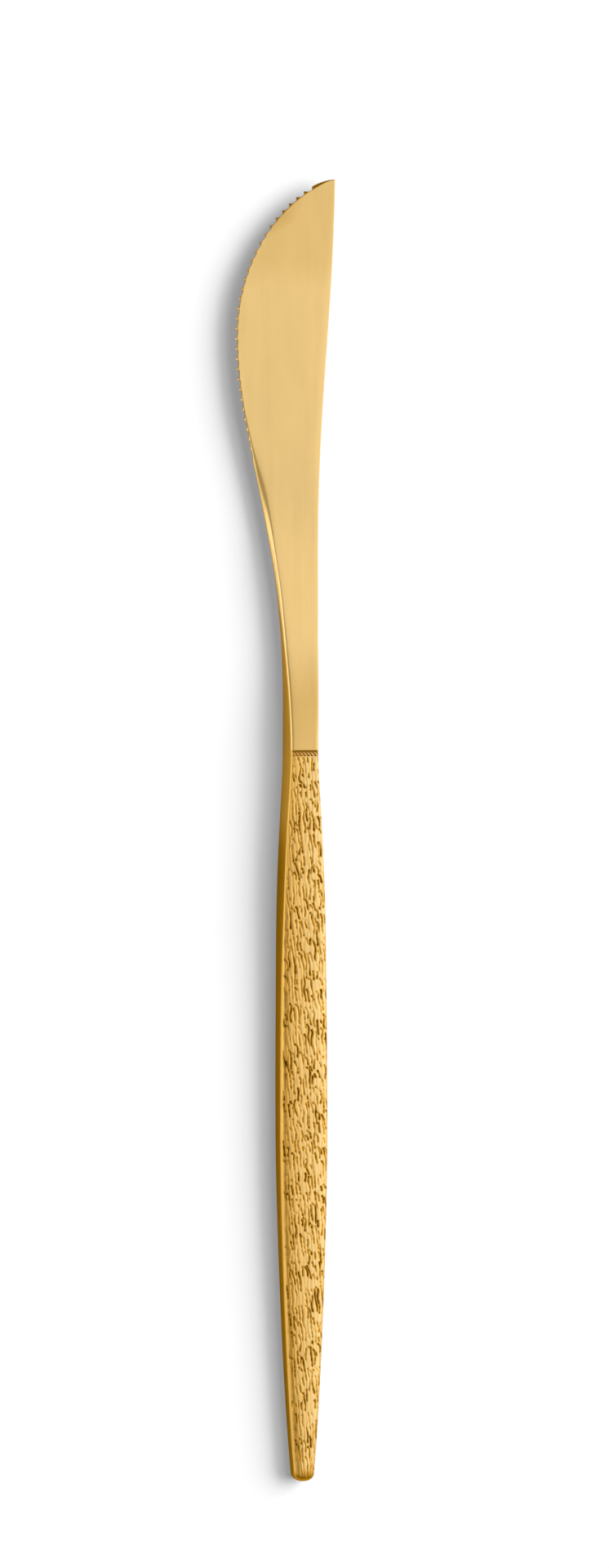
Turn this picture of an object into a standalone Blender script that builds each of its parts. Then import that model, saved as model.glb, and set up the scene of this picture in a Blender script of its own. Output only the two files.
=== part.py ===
"""Fruit knife with a serrated forged blade and a hollow handle.

The knife lies flat. Its length runs along Y with the tip towards +Y, the cutting
edge faces -X and the handle's underside rests on Z = 0. Every piece is modelled
round the shoulder, where the blade meets the handle, with the knife's middle plane
at Z = 0. One parent empty then tilts the knife by the handle's taper, so that the
underside lies level, and centres it on the origin.
"""

import bisect
import math

import bmesh
import bpy
from mathutils import Matrix, Vector
from mathutils.geometry import interpolate_bezier

MM = 0.001

# Blade outline, measured from the shoulder and from the handle's axis
BLADE_LENGTH = 89.9 * MM
TIP_OFFSET = 5.9 * MM
TIP_LEAN = math.radians(9.5)
TIP_PULL = 7.8 * MM
BELLY_OFFSET = 10.65 * MM
BELLY_FROM_SHOULDER = 65.0 * MM
BELLY_PULL_TO_TIP = 12.3 * MM
BELLY_PULL_TO_CHOIL = 10.0 * MM
CHOIL_OFFSET = 6.05 * MM
CHOIL_FROM_SHOULDER = 37.8 * MM
CHOIL_LEAN = math.radians(11.2)
CHOIL_PULL_TO_BELLY = 12.9 * MM
CHOIL_PULL_TO_NECK = 12.9 * MM
NECK_PULL_ON_EDGE = 15.6 * MM
SPINE_LEAN = math.radians(1.2)
SPINE_PULL_FROM_TIP = 22.4 * MM
WAIST_OFFSET = 2.74 * MM
WAIST_FROM_SHOULDER = 29.0 * MM
WAIST_PULL_TO_TIP = 25.0 * MM
WAIST_PULL_TO_NECK = 20.0 * MM
NECK_PULL_ON_SPINE = 6.0 * MM

# Blade thickness
TIP_THICKNESS = 0.8 * MM
SPINE_THICKNESS = 2.0 * MM
BEVEL_THICKNESS = 0.6 * MM
EDGE_LAND = 0.12 * MM
BEVEL_WIDTH = 0.55 * MM
SPINE_CHAMFER = 0.15 * MM

# Serration, measured along the cutting edge from the tip
SERRATION_START = 3.25 * MM
SERRATION_LENGTH = 49.6 * MM
TOOTH_PITCH = 1.6 * MM
TOOTH_DEPTH = 0.4 * MM
TOOTH_FLANK = 0.14
STEPS_PER_TOOTH = 5

# Neck, where the blade thickens into the shoulder
NECK_WIDTH = 4.56 * MM
NECK_THICKNESS = 4.8 * MM
NECK_EDGE_RADIUS = 0.3 * MM
NECK_SWELL_LENGTH = 16.0 * MM
CHOIL_FADE_LENGTH = 9.0 * MM

# Tang
TANG_LENGTH = 55.0 * MM
TANG_WIDTH = 2.2 * MM
TANG_THICKNESS = 1.9 * MM
TANG_END_WIDTH = 1.6 * MM
TANG_END_THICKNESS = 1.4 * MM
TANG_CHAMFER = 0.3 * MM

# Handle, measured from the shoulder towards the butt
HANDLE_LENGTH = 115.1 * MM
HANDLE_WIDTH = 7.85 * MM
HANDLE_WIDEST_FROM_SHOULDER = 60.5 * MM
NECK_PULL_ON_HANDLE = 8.2 * MM
WIDEST_PULL_TO_NECK = 46.0 * MM
WIDEST_PULL_TO_BUTT = 10.8 * MM
BUTT_PULL = 14.6 * MM
BUTT_LEAN = math.radians(5.7)
BUTT_WIDTH = 3.1 * MM
BUTT_THICKNESS = 3.4 * MM
BUTT_ROUND = 1.1 * MM
BUTT_FLAT_SHARE = 0.4
HANDLE_EDGE_RADIUS = 0.8 * MM
EDGE_SOFTEN_LENGTH = 14.0 * MM
SHELL_WALL = 0.6 * MM

# Solder and clearance between the pieces
SEAM_SOLDER_THICKNESS = 0.15 * MM
NECK_SOLDER_THICKNESS = 0.2 * MM
FIT_GAP = 0.05 * MM

# Fineness of the faces
CURVE_STEPS = 64
CHOIL_STATIONS = 26
HANDLE_STATIONS = 26
BUTT_STATIONS = 5
CORNER_STEPS = 4
SMOOTH_ANGLE = math.radians(32.0)
CUTTER_MARGIN = 1.0 * MM

# Places that follow from the sizes
MOUTH = NECK_SOLDER_THICKNESS + 2 * FIT_GAP
SEAM_HALF = SEAM_SOLDER_THICKNESS / 2 + FIT_GAP
LAY_ANGLE = math.atan((NECK_THICKNESS - BUTT_THICKNESS) / 2 / HANDLE_LENGTH)

GOLD = (0.78, 0.52, 0.19)
DARK_GOLD = (0.58, 0.33, 0.08)
BRASS = (0.55, 0.38, 0.14)
CEMENT = (0.42, 0.40, 0.36)


def blend(first, last, share):
    """Go from one value to another."""
    return first + (last - first) * share


def ease(share):
    """Ease from 0 to 1 with level ends."""
    held = min(max(share, 0.0), 1.0)
    return held * held * (3.0 - 2.0 * held)


class PlanCurve:
    """A smooth line in the plan view, made of Bezier spans."""

    def __init__(self, spans):
        """Join spans, each a start, its handle, the end's handle and the end."""
        self.points = [spans[0][0]]
        for span in spans:
            self.points.extend(interpolate_bezier(*span, CURVE_STEPS)[1:])
        self.distances = [0.0]
        for before, after in zip(self.points, self.points[1:]):
            self.distances.append(self.distances[-1] + (after - before).length)

    @property
    def length(self):
        """The distance along the whole curve."""
        return self.distances[-1]

    def step_at(self, distance):
        """Find the short step of the curve that holds a distance."""
        index = bisect.bisect_right(self.distances, distance) - 1
        return min(max(index, 0), len(self.points) - 2)

    def point(self, distance):
        """The point at a distance along the curve."""
        index = self.step_at(distance)
        before, after = self.distances[index], self.distances[index + 1]
        return self.points[index].lerp(self.points[index + 1], (distance - before) / (after - before))

    def left_normal(self, distance):
        """The direction to the left of the curve's travel."""
        index = self.step_at(distance)
        travel = (self.points[index + 1] - self.points[index]).normalized()
        return Vector((-travel.y, travel.x))

    def offset_at(self, depth):
        """The X of a curve that runs steadily down Y, at a depth below its start."""
        depths = [self.points[0].y - point.y for point in self.points]
        index = min(max(bisect.bisect_right(depths, depth) - 1, 0), len(depths) - 2)
        share = (depth - depths[index]) / (depths[index + 1] - depths[index])
        return blend(self.points[index].x, self.points[index + 1].x, share)


def edge_curve():
    """The cutting edge, from the tip's corner round the belly to the shoulder."""
    tip = Vector((TIP_OFFSET, BLADE_LENGTH))
    belly = Vector((-BELLY_OFFSET, BELLY_FROM_SHOULDER))
    choil = Vector((-CHOIL_OFFSET, CHOIL_FROM_SHOULDER))
    shoulder = Vector((-NECK_WIDTH / 2, 0.0))
    from_tip = Vector((-math.cos(TIP_LEAN), -math.sin(TIP_LEAN)))
    along_choil = Vector((math.sin(CHOIL_LEAN), -math.cos(CHOIL_LEAN)))
    down = Vector((0.0, -1.0))
    return PlanCurve([
        (tip, tip + from_tip * TIP_PULL, belly - down * BELLY_PULL_TO_TIP, belly),
        (belly, belly + down * BELLY_PULL_TO_CHOIL, choil - along_choil * CHOIL_PULL_TO_BELLY, choil),
        (choil, choil + along_choil * CHOIL_PULL_TO_NECK, shoulder - down * NECK_PULL_ON_EDGE, shoulder),
    ])


def spine_curve():
    """The back of the blade, from the tip's corner through the waist to the shoulder."""
    tip = Vector((TIP_OFFSET, BLADE_LENGTH))
    waist = Vector((WAIST_OFFSET, WAIST_FROM_SHOULDER))
    shoulder = Vector((NECK_WIDTH / 2, 0.0))
    from_tip = Vector((-math.sin(SPINE_LEAN), -math.cos(SPINE_LEAN)))
    down = Vector((0.0, -1.0))
    return PlanCurve([
        (tip, tip + from_tip * SPINE_PULL_FROM_TIP, waist - down * WAIST_PULL_TO_TIP, waist),
        (waist, waist + down * WAIST_PULL_TO_NECK, shoulder - down * NECK_PULL_ON_SPINE, shoulder),
    ])


def handle_curve():
    """The right side of the handle, from the shoulder to the butt."""
    shoulder = Vector((NECK_WIDTH / 2, 0.0))
    widest = Vector((HANDLE_WIDTH / 2, -HANDLE_WIDEST_FROM_SHOULDER))
    butt = Vector((BUTT_WIDTH / 2, -HANDLE_LENGTH))
    along_butt = Vector((-math.sin(BUTT_LEAN), -math.cos(BUTT_LEAN)))
    down = Vector((0.0, -1.0))
    return PlanCurve([
        (shoulder, shoulder + down * NECK_PULL_ON_HANDLE, widest - down * WIDEST_PULL_TO_NECK, widest),
        (widest, widest + down * WIDEST_PULL_TO_BUTT, butt - along_butt * BUTT_PULL, butt),
    ])


def neck_swell(from_shoulder):
    """The thickness that the neck adds to the blade near the shoulder."""
    return (NECK_THICKNESS - SPINE_THICKNESS) * ease(1.0 - from_shoulder / NECK_SWELL_LENGTH)


def spine_thickness(from_shoulder):
    """The blade's thickness along its back."""
    share = (from_shoulder - NECK_SWELL_LENGTH) / (BLADE_LENGTH - NECK_SWELL_LENGTH)
    plain = blend(SPINE_THICKNESS, TIP_THICKNESS, max(share, 0.0))
    return plain + neck_swell(from_shoulder)


def edge_side_thickness(from_shoulder):
    """The blade's thickness along the inner line of the bevel."""
    share = (from_shoulder - NECK_SWELL_LENGTH) / (CHOIL_FROM_SHOULDER - NECK_SWELL_LENGTH)
    plain = blend(SPINE_THICKNESS, BEVEL_THICKNESS, ease(share))
    return plain + neck_swell(from_shoulder)


def tooth_depth(phase):
    """How far the edge is cut back at a share of a tooth, counted from its point."""
    if phase < TOOTH_FLANK:
        return TOOTH_DEPTH * phase / TOOTH_FLANK
    return TOOTH_DEPTH * math.cos((phase - TOOTH_FLANK) / (1.0 - TOOTH_FLANK) * math.pi / 2)


def tooth_phases():
    """The shares of a tooth at which the blade gets a section."""
    rise = [(1.0 - TOOTH_FLANK) * step / (STEPS_PER_TOOTH - 1) for step in range(STEPS_PER_TOOTH - 1)]
    return [0.0] + [TOOTH_FLANK + share for share in rise]


def edge_stations(edge):
    """The distance along the edge and the cut depth of every blade section."""
    teeth = int(SERRATION_LENGTH / TOOTH_PITCH)
    end = SERRATION_START + teeth * TOOTH_PITCH
    lead = [(SERRATION_START * share, 0.0) for share in (0.25, 0.5, 0.75)]
    cuts = [
        (SERRATION_START + (tooth + phase) * TOOTH_PITCH, tooth_depth(phase))
        for tooth in range(teeth)
        for phase in tooth_phases()
    ]
    rest = [
        (blend(end, edge.length, step / CHOIL_STATIONS), 0.0)
        for step in range(CHOIL_STATIONS + 1)
    ]
    return lead + cuts + rest


def blade_section(edge, spine, distance, cut):
    """Eight points round the blade at a distance along its edge.

    The loop runs over the top from the spine to the edge and back underneath.
    """
    along = distance / edge.length
    on_edge = edge.point(distance)
    into_blade = edge.left_normal(distance)
    on_spine = spine.point(along * spine.length)
    off_spine = -spine.left_normal(along * spine.length)

    spine_half = spine_thickness(on_spine.y) / 2
    bevel_half = edge_side_thickness(on_edge.y) / 2
    grown = ease(distance / SERRATION_START)
    faded = ease((distance - SERRATION_START - SERRATION_LENGTH) / CHOIL_FADE_LENGTH)
    bevel = blend(BEVEL_WIDTH * grown, NECK_EDGE_RADIUS, faded)
    land = blend(TIP_THICKNESS / 2, EDGE_LAND / 2, grown)
    wall_half = blend(land, bevel_half - NECK_EDGE_RADIUS, faded)
    near_neck = ease(1.0 - on_spine.y / NECK_SWELL_LENGTH)
    chamfer = blend(SPINE_CHAMFER, NECK_EDGE_RADIUS, near_neck)

    bevel_line = on_edge + into_blade * bevel
    cut_edge = on_edge + into_blade * cut
    cut_half = blend(wall_half, bevel_half, cut / bevel)
    spine_line = on_spine + off_spine * chamfer
    top = [
        (on_spine, spine_half - chamfer),
        (spine_line, spine_half),
        (bevel_line, bevel_half),
        (cut_edge, cut_half),
    ]
    over = [Vector((place.x, place.y, height)) for place, height in top]
    under = [Vector((place.x, place.y, -height)) for place, height in reversed(top)]
    return over + under


def tang_sections(clearance, start):
    """The sections of the tang, or of its pocket when there is a clearance."""
    ends = [
        (start, TANG_WIDTH, TANG_THICKNESS),
        (-TANG_LENGTH - clearance, TANG_END_WIDTH, TANG_END_THICKNESS),
    ]
    sections = []
    for along, width, thickness in ends:
        x = width / 2 + clearance
        z = thickness / 2 + clearance
        corner = TANG_CHAMFER
        over = [(x, z - corner), (x - corner, z), (corner - x, z), (-x, z - corner)]
        under = [(side, -height) for side, height in reversed(over)]
        sections.append([Vector((side, along, height)) for side, height in over + under])
    return sections


def handle_half_sizes(handle, from_shoulder, inset):
    """Half the width, half the thickness and the edge radius of the handle."""
    past = (from_shoulder - HANDLE_LENGTH + BUTT_ROUND) / BUTT_ROUND
    closing = math.sqrt(1.0 - (1.0 - BUTT_FLAT_SHARE ** 2) * max(past, 0.0) ** 2)
    thickness = blend(NECK_THICKNESS, BUTT_THICKNESS, from_shoulder / HANDLE_LENGTH)
    half_width = handle.offset_at(from_shoulder) * closing - inset
    half_thickness = thickness / 2 * closing - inset
    radius = blend(NECK_EDGE_RADIUS, HANDLE_EDGE_RADIUS, ease(from_shoulder / EDGE_SOFTEN_LENGTH))
    inner_radius = max(radius - inset, NECK_EDGE_RADIUS / 2)
    return half_width, half_thickness, min(inner_radius, half_width / 2, half_thickness / 2)


def corner_arc(center_x, center_z, radius, start_turn):
    """A quarter of a circle, from a start given in quarter turns."""
    turns = [start_turn + step / CORNER_STEPS for step in range(CORNER_STEPS + 1)]
    angles = [turn * math.pi / 2 for turn in turns]
    return [(center_x + radius * math.cos(a), center_z + radius * math.sin(a)) for a in angles]


def upper_outline(half_width, half_thickness, radius, floor):
    """The upper half of a rounded rectangle, closed along a level floor."""
    x = half_width - radius
    z = half_thickness - radius
    arcs = corner_arc(x, z, radius, 0) + corner_arc(-x, z, radius, 1)
    return [(half_width, floor)] + arcs + [(-half_width, floor)]


def full_outline(half_width, half_thickness, radius):
    """A rounded rectangle."""
    x = half_width - radius
    z = half_thickness - radius
    upper = corner_arc(x, z, radius, 0) + corner_arc(-x, z, radius, 1)
    return upper + corner_arc(-x, -z, radius, 2) + corner_arc(x, -z, radius, 3)


def slab_outline(half_width, half_thickness):
    """A plain rectangle."""
    x, z = half_width, half_thickness
    return [(x, -z), (x, z), (-x, z), (-x, -z)]


def handle_stations(first, last):
    """Distances from the shoulder at which the handle gets a section."""
    round_start = HANDLE_LENGTH - BUTT_ROUND
    body = [blend(first, round_start, step / HANDLE_STATIONS) for step in range(HANDLE_STATIONS)]
    turn = math.asin(min((last - round_start) / BUTT_ROUND, 1.0))
    angles = [turn * step / BUTT_STATIONS for step in range(BUTT_STATIONS + 1)]
    return body + [round_start + BUTT_ROUND * math.sin(angle) for angle in angles]


def handle_sections(handle, first, last, inset, outline):
    """Sections of the handle's form, set in from its surface, with a chosen outline."""
    sections = []
    for from_shoulder in handle_stations(MOUTH, last):
        sizes = handle_half_sizes(handle, from_shoulder, inset)
        sections.append([Vector((x, -from_shoulder, z)) for x, z in outline(*sizes)])
    if first < MOUTH:
        sections.insert(0, [Vector((point.x, -first, point.z)) for point in sections[0]])
    return sections


def skin(mesh, ring, following):
    """Join two rings of vertices with faces, leaving out corners that coincide."""
    count = len(ring)
    for index in range(count):
        after = (index + 1) % count
        corners = (ring[index], ring[after], following[after], following[index])
        distinct = list(dict.fromkeys(corners))
        if len(distinct) > 2:
            mesh.faces.new(distinct)


def loft(mesh, sections):
    """Skin a run of sections and close both of its ends."""
    rings = [[mesh.verts.new(point) for point in section] for section in sections]
    for ring, following in zip(rings, rings[1:]):
        skin(mesh, ring, following)
    mesh.faces.new(rings[0])
    mesh.faces.new(rings[-1])


def finish(name, color, metallic, roughness):
    """Make a plain material."""
    material = bpy.data.materials.new(name)
    material.use_nodes = True
    shader = material.node_tree.nodes["Principled BSDF"]
    shader.inputs["Base Color"].default_value = (*color, 1.0)
    shader.inputs["Metallic"].default_value = metallic
    shader.inputs["Roughness"].default_value = roughness
    return material


def place(name, mesh, frame, material=None):
    """Turn a bmesh into a named object on the knife's frame."""
    bmesh.ops.recalc_face_normals(mesh, faces=mesh.faces)
    data = bpy.data.meshes.new(name)
    mesh.to_mesh(data)
    mesh.free()
    data.shade_smooth()
    data.set_sharp_from_angle(angle=SMOOTH_ANGLE)
    piece = bpy.data.objects.new(name, data)
    bpy.context.scene.collection.objects.link(piece)
    piece.parent = frame
    if material:
        data.materials.append(material)
    return piece


def hide_cutter(cutter):
    """Keep a cutter as a wire guide."""
    cutter.hide_render = True
    cutter.display_type = "WIRE"


def cut_out(piece, cutter):
    """Take a cutter's shape out of a piece."""
    hide_cutter(cutter)
    boolean = piece.modifiers.new("cut " + cutter.name, "BOOLEAN")
    boolean.operation = "DIFFERENCE"
    boolean.solver = "EXACT"
    boolean.object = cutter


def make_blade(frame, material):
    """The blade, its neck and shoulder, and the tang, forged in one piece."""
    edge = edge_curve()
    spine = spine_curve()
    mesh = bmesh.new()
    tip_top = mesh.verts.new((TIP_OFFSET, BLADE_LENGTH, TIP_THICKNESS / 2))
    tip_bottom = mesh.verts.new((TIP_OFFSET, BLADE_LENGTH, -TIP_THICKNESS / 2))
    sections = [blade_section(edge, spine, *station) for station in edge_stations(edge)]
    sections += tang_sections(0.0, 0.0)
    rings = [[tip_top] * 4 + [tip_bottom] * 4]
    rings += [[mesh.verts.new(point) for point in section] for section in sections]
    for ring, following in zip(rings, rings[1:]):
        skin(mesh, ring, following)
    mesh.faces.new(rings[-1])
    return place("blade", mesh, frame, material)


def make_cavity(handle, frame):
    """The hollow of the handle, as a cutter that runs out of its mouth."""
    mesh = bmesh.new()
    last = HANDLE_LENGTH - SHELL_WALL
    loft(mesh, handle_sections(handle, -CUTTER_MARGIN, last, SHELL_WALL, full_outline))
    cavity = place("handle_hollow", mesh, frame)
    hide_cutter(cavity)
    return cavity


def make_shell(name, handle, frame, material, cavity, upward):
    """One half of the handle's skin."""
    mesh = bmesh.new()

    def half(half_width, half_thickness, radius):
        return upper_outline(half_width, half_thickness, radius, SEAM_HALF)

    loft(mesh, handle_sections(handle, MOUTH, HANDLE_LENGTH, 0.0, half))
    if not upward:
        bmesh.ops.transform(mesh, matrix=Matrix.Scale(-1.0, 4, (0.0, 0.0, 1.0)), verts=mesh.verts)
    shell = place(name, mesh, frame, material)
    cut_out(shell, cavity)
    return shell


def make_seam_solder(handle, frame, material, cavity):
    """The solder between the rims of the two shells, a long U round the butt."""
    mesh = bmesh.new()

    def strip(half_width, _half_thickness, _radius):
        return slab_outline(half_width, SEAM_SOLDER_THICKNESS / 2)

    loft(mesh, handle_sections(handle, MOUTH, HANDLE_LENGTH, 0.0, strip))
    solder = place("seam_solder", mesh, frame, material)
    cut_out(solder, cavity)
    return solder


def make_neck_solder(handle, frame, material, cavity):
    """The ring of solder between the blade's shoulder and the handle's mouth."""
    mesh = bmesh.new()
    outline = full_outline(*handle_half_sizes(handle, MOUTH, 0.0))
    ends = (FIT_GAP, FIT_GAP + NECK_SOLDER_THICKNESS)
    loft(mesh, [[Vector((x, -end, z)) for x, z in outline] for end in ends])
    solder = place("neck_solder", mesh, frame, material)
    cut_out(solder, cavity)
    return solder


def make_cement(handle, frame, material):
    """The filler that fixes the tang in the handle."""
    mesh = bmesh.new()
    inset = SHELL_WALL + FIT_GAP
    loft(mesh, handle_sections(handle, MOUTH, HANDLE_LENGTH - inset, inset, full_outline))
    cement = place("tang_cement", mesh, frame, material)
    pocket_mesh = bmesh.new()
    loft(pocket_mesh, tang_sections(FIT_GAP, CUTTER_MARGIN))
    cut_out(cement, place("tang_pocket", pocket_mesh, frame))
    return cement


def settle(frame, pieces):
    """Centre the knife on the origin, with its lowest point on Z = 0."""
    frame.rotation_euler.x = LAY_ANGLE
    bpy.context.view_layer.update()
    points = [piece.matrix_world @ vertex.co for piece in pieces for vertex in piece.data.vertices]
    lowest = Vector(min(point[axis] for point in points) for axis in range(3))
    highest = Vector(max(point[axis] for point in points) for axis in range(3))
    middle = (lowest + highest) / 2
    frame.location = (-middle.x, -middle.y, -lowest.z)


def main():
    """Build the knife."""
    for old in list(bpy.data.objects):
        bpy.data.objects.remove(old)
    frame = bpy.data.objects.new("knife_frame", None)
    bpy.context.scene.collection.objects.link(frame)

    blade_finish = finish("gold_blade", GOLD, 1.0, 0.3)
    handle_finish = finish("gold_handle", DARK_GOLD, 1.0, 0.35)
    solder_finish = finish("brass_solder", BRASS, 1.0, 0.45)
    cement_finish = finish("grey_cement", CEMENT, 0.0, 0.9)

    handle = handle_curve()
    cavity = make_cavity(handle, frame)
    pieces = [
        make_blade(frame, blade_finish),
        make_shell("handle_shell_upper", handle, frame, handle_finish, cavity, True),
        make_shell("handle_shell_lower", handle, frame, handle_finish, cavity, False),
        make_seam_solder(handle, frame, solder_finish, cavity),
        make_neck_solder(handle, frame, solder_finish, cavity),
        make_cement(handle, frame, cement_finish),
    ]
    settle(frame, pieces)


if __name__ == "__main__":
    main()
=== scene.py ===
"""Dressed model of a gold fruit knife with a satin blade and a bark-textured hollow handle.

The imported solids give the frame. The blade, the two handle shells, the ring at the neck and
the seam between the shells are modelled again with their fine surface. The filler inside
keeps its solid and gets a finish. Sizes are in metres: X runs across the knife, Y along it
with the tip at +Y, and Z up from the table. Each piece is shaped round the shoulder, where
the blade meets the handle, with the knife's middle plane at Z = 0, and is then laid in the
frame.
"""

import logging
import math
from dataclasses import dataclass, field
from enum import Enum

import bpy
import numpy as np
from mathutils import Matrix, Vector


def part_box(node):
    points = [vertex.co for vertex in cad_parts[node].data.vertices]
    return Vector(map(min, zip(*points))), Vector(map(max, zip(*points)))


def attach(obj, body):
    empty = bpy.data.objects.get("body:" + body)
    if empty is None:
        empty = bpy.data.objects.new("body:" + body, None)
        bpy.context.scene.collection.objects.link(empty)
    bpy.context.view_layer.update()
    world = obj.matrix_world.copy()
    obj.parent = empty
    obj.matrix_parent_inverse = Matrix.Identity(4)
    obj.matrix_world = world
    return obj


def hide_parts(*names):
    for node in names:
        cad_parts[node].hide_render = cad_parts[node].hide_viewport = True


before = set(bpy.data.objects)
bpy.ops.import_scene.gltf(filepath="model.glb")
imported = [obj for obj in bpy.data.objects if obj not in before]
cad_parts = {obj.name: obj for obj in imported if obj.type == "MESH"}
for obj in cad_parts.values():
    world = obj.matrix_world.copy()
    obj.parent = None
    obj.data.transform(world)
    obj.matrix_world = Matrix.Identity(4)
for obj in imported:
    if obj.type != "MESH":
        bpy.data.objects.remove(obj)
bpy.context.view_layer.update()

LOG = logging.getLogger("fruit_knife")
MM = 0.001
BODY = "root"
MERGE_DISTANCE = 0.0005 * MM

Point = tuple[float, float]
Colour = tuple[float, float, float]
Numbers = np.ndarray | float


class Side(Enum):
    """Which half of the handle a shell covers, as the sign of its Z."""

    UPPER = 1.0
    LOWER = -1.0


class LampUse(Enum):
    """What a lamp lights: the table and its shadow, or the gloss of the metal."""

    TABLE = "table"
    GLOSS = "gloss"


def blend(first: Numbers, last: Numbers, share: Numbers) -> Numbers:
    """Go from one value to another."""
    return first + (last - first) * share


def ease(share: Numbers) -> Numbers:
    """Ease from 0 to 1 with level ends."""
    held = np.clip(share, 0.0, 1.0)
    return held * held * (3.0 - 2.0 * held)


def rise(value: Numbers, span: Point) -> Numbers:
    """Ease from 0 at the start of a span to 1 at its end."""
    first, last = span
    return ease((value - first) / (last - first))


def fall(value: Numbers, span: Point) -> Numbers:
    """Ease from 1 at the start of a span to 0 at its end."""
    first, last = span
    return ease((last - value) / (last - first))


def tent(distance: Numbers, reach: float) -> Numbers:
    """Fall evenly from 1 at no distance to 0 at a reach."""
    return np.clip(1.0 - np.abs(distance) / reach, 0.0, 1.0)


@dataclass
class PlanCurve:
    """A smooth line in the plan view, joined from Bezier spans."""

    spans: tuple[tuple[np.ndarray, np.ndarray, np.ndarray, np.ndarray], ...]
    steps: int = 240
    points: np.ndarray = field(init=False)
    reach: np.ndarray = field(init=False)

    def __post_init__(self) -> None:
        """Lay points along the spans and measure how far along each one lies."""
        share = np.linspace(0.0, 1.0, self.steps + 1)[:, None]
        rest = 1.0 - share
        runs = []
        for start, leave, arrive, end in self.spans:
            outer = rest**3 * start + share**3 * end
            inner = 3 * rest**2 * share * leave + 3 * rest * share**2 * arrive
            run = outer + inner
            runs.append(run[1:] if runs else run)
        self.points = np.concatenate(runs)
        hops = np.linalg.norm(np.diff(self.points, axis=0), axis=1)
        self.reach = np.concatenate([[0.0], np.cumsum(hops)])

    @property
    def length(self) -> float:
        """The distance along the whole curve."""
        return float(self.reach[-1])

    def at(self, distance: np.ndarray) -> np.ndarray:
        """The points at some distances along the curve."""
        return np.stack([np.interp(distance, self.reach, self.points[:, axis]) for axis in (0, 1)], axis=-1)

    def left_normal(self, distance: np.ndarray) -> np.ndarray:
        """The directions to the left of the curve's travel.

        Args:
            distance: How far along the curve each direction is taken.

        Returns:
            One unit direction for each distance.
        """
        travel = np.gradient(self.points, self.reach, axis=0)
        along = np.stack([np.interp(distance, self.reach, travel[:, axis]) for axis in (0, 1)], axis=-1)
        along /= np.linalg.norm(along, axis=-1, keepdims=True)
        return np.stack([-along[..., 1], along[..., 0]], axis=-1)

    def offset_at(self, depth: np.ndarray) -> np.ndarray:
        """The X of a curve that runs steadily down Y, at depths below its start."""
        return np.interp(depth, self.points[0, 1] - self.points[:, 1], self.points[:, 0])


@dataclass(frozen=True)
class Lay:
    """How the knife lies: the shoulder's place in the frame, and the tilt that levels the underside."""

    shoulder: Vector
    tilt: float

    @classmethod
    def from_frame(cls, neck_thickness: float, butt_thickness: float, handle_length: float,
                   ring_middle: float) -> "Lay":
        """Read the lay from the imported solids.

        Args:
            neck_thickness: Thickness of the handle at the shoulder.
            butt_thickness: Thickness of the handle at its end.
            handle_length: Length of the handle.
            ring_middle: Distance from the shoulder to the middle of the neck's ring.

        Returns:
            The lay of the knife.
        """
        tilt = math.atan((neck_thickness - butt_thickness) / 2 / handle_length)
        ring_low, ring_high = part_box("neck_solder")
        middle = (ring_low + ring_high) / 2
        height = neck_thickness / 2 * math.cos(tilt)
        return cls(Vector((middle.x, middle.y + ring_middle * math.cos(tilt), height)), tilt)

    def place(self, points: np.ndarray) -> np.ndarray:
        """Lay points that were shaped round the shoulder in the frame."""
        turn = np.array(Matrix.Rotation(self.tilt, 3, "X"))
        return points @ turn.T + np.array(self.shoulder)


def wrapped_grid(name: str, rings: np.ndarray, smooth_angle: float,
                 masks: dict[str, np.ndarray]) -> bpy.types.Object:
    """Wrap a grid primitive round a run of rings and close its seam and its ends.

    Args:
        name: The piece's name.
        rings: Points of shape (rings, points in a ring, 3), in the frame.
        smooth_angle: Edges that turn more than this stay sharp.
        masks: Values for each point, kept as attributes of the mesh.

    Returns:
        The closed piece.
    """
    row_count, column_count = rings.shape[:2]
    bpy.ops.object.select_all(action="DESELECT")
    bpy.ops.mesh.primitive_grid_add(x_subdivisions=column_count, y_subdivisions=row_count - 1, size=1.0)
    piece = bpy.context.active_object
    piece.name = name
    mesh = piece.data
    mesh.name = name

    flat = np.empty(len(mesh.vertices) * 3, dtype=np.float32)
    mesh.vertices.foreach_get("co", flat)
    flat = flat.reshape(-1, 3) + 0.5
    column = np.rint(flat[:, 0] * column_count).astype(int) % column_count
    row = np.rint(flat[:, 1] * (row_count - 1)).astype(int)
    mesh.vertices.foreach_set("co", rings[row, column].astype(np.float32).ravel())
    for mask_name, values in masks.items():
        attribute = mesh.attributes.new(mask_name, "FLOAT", "POINT")
        attribute.data.foreach_set("value", values[row, column].astype(np.float32))
    mesh.update()

    bpy.ops.object.mode_set(mode="EDIT")
    bpy.ops.mesh.select_all(action="SELECT")
    bpy.ops.mesh.remove_doubles(threshold=MERGE_DISTANCE)
    bpy.ops.mesh.fill_holes(sides=0)
    bpy.ops.mesh.select_all(action="SELECT")
    bpy.ops.mesh.normals_make_consistent(inside=False)
    bpy.ops.object.mode_set(mode="OBJECT")
    bpy.ops.object.shade_smooth_by_angle(angle=smooth_angle)
    return piece


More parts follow.
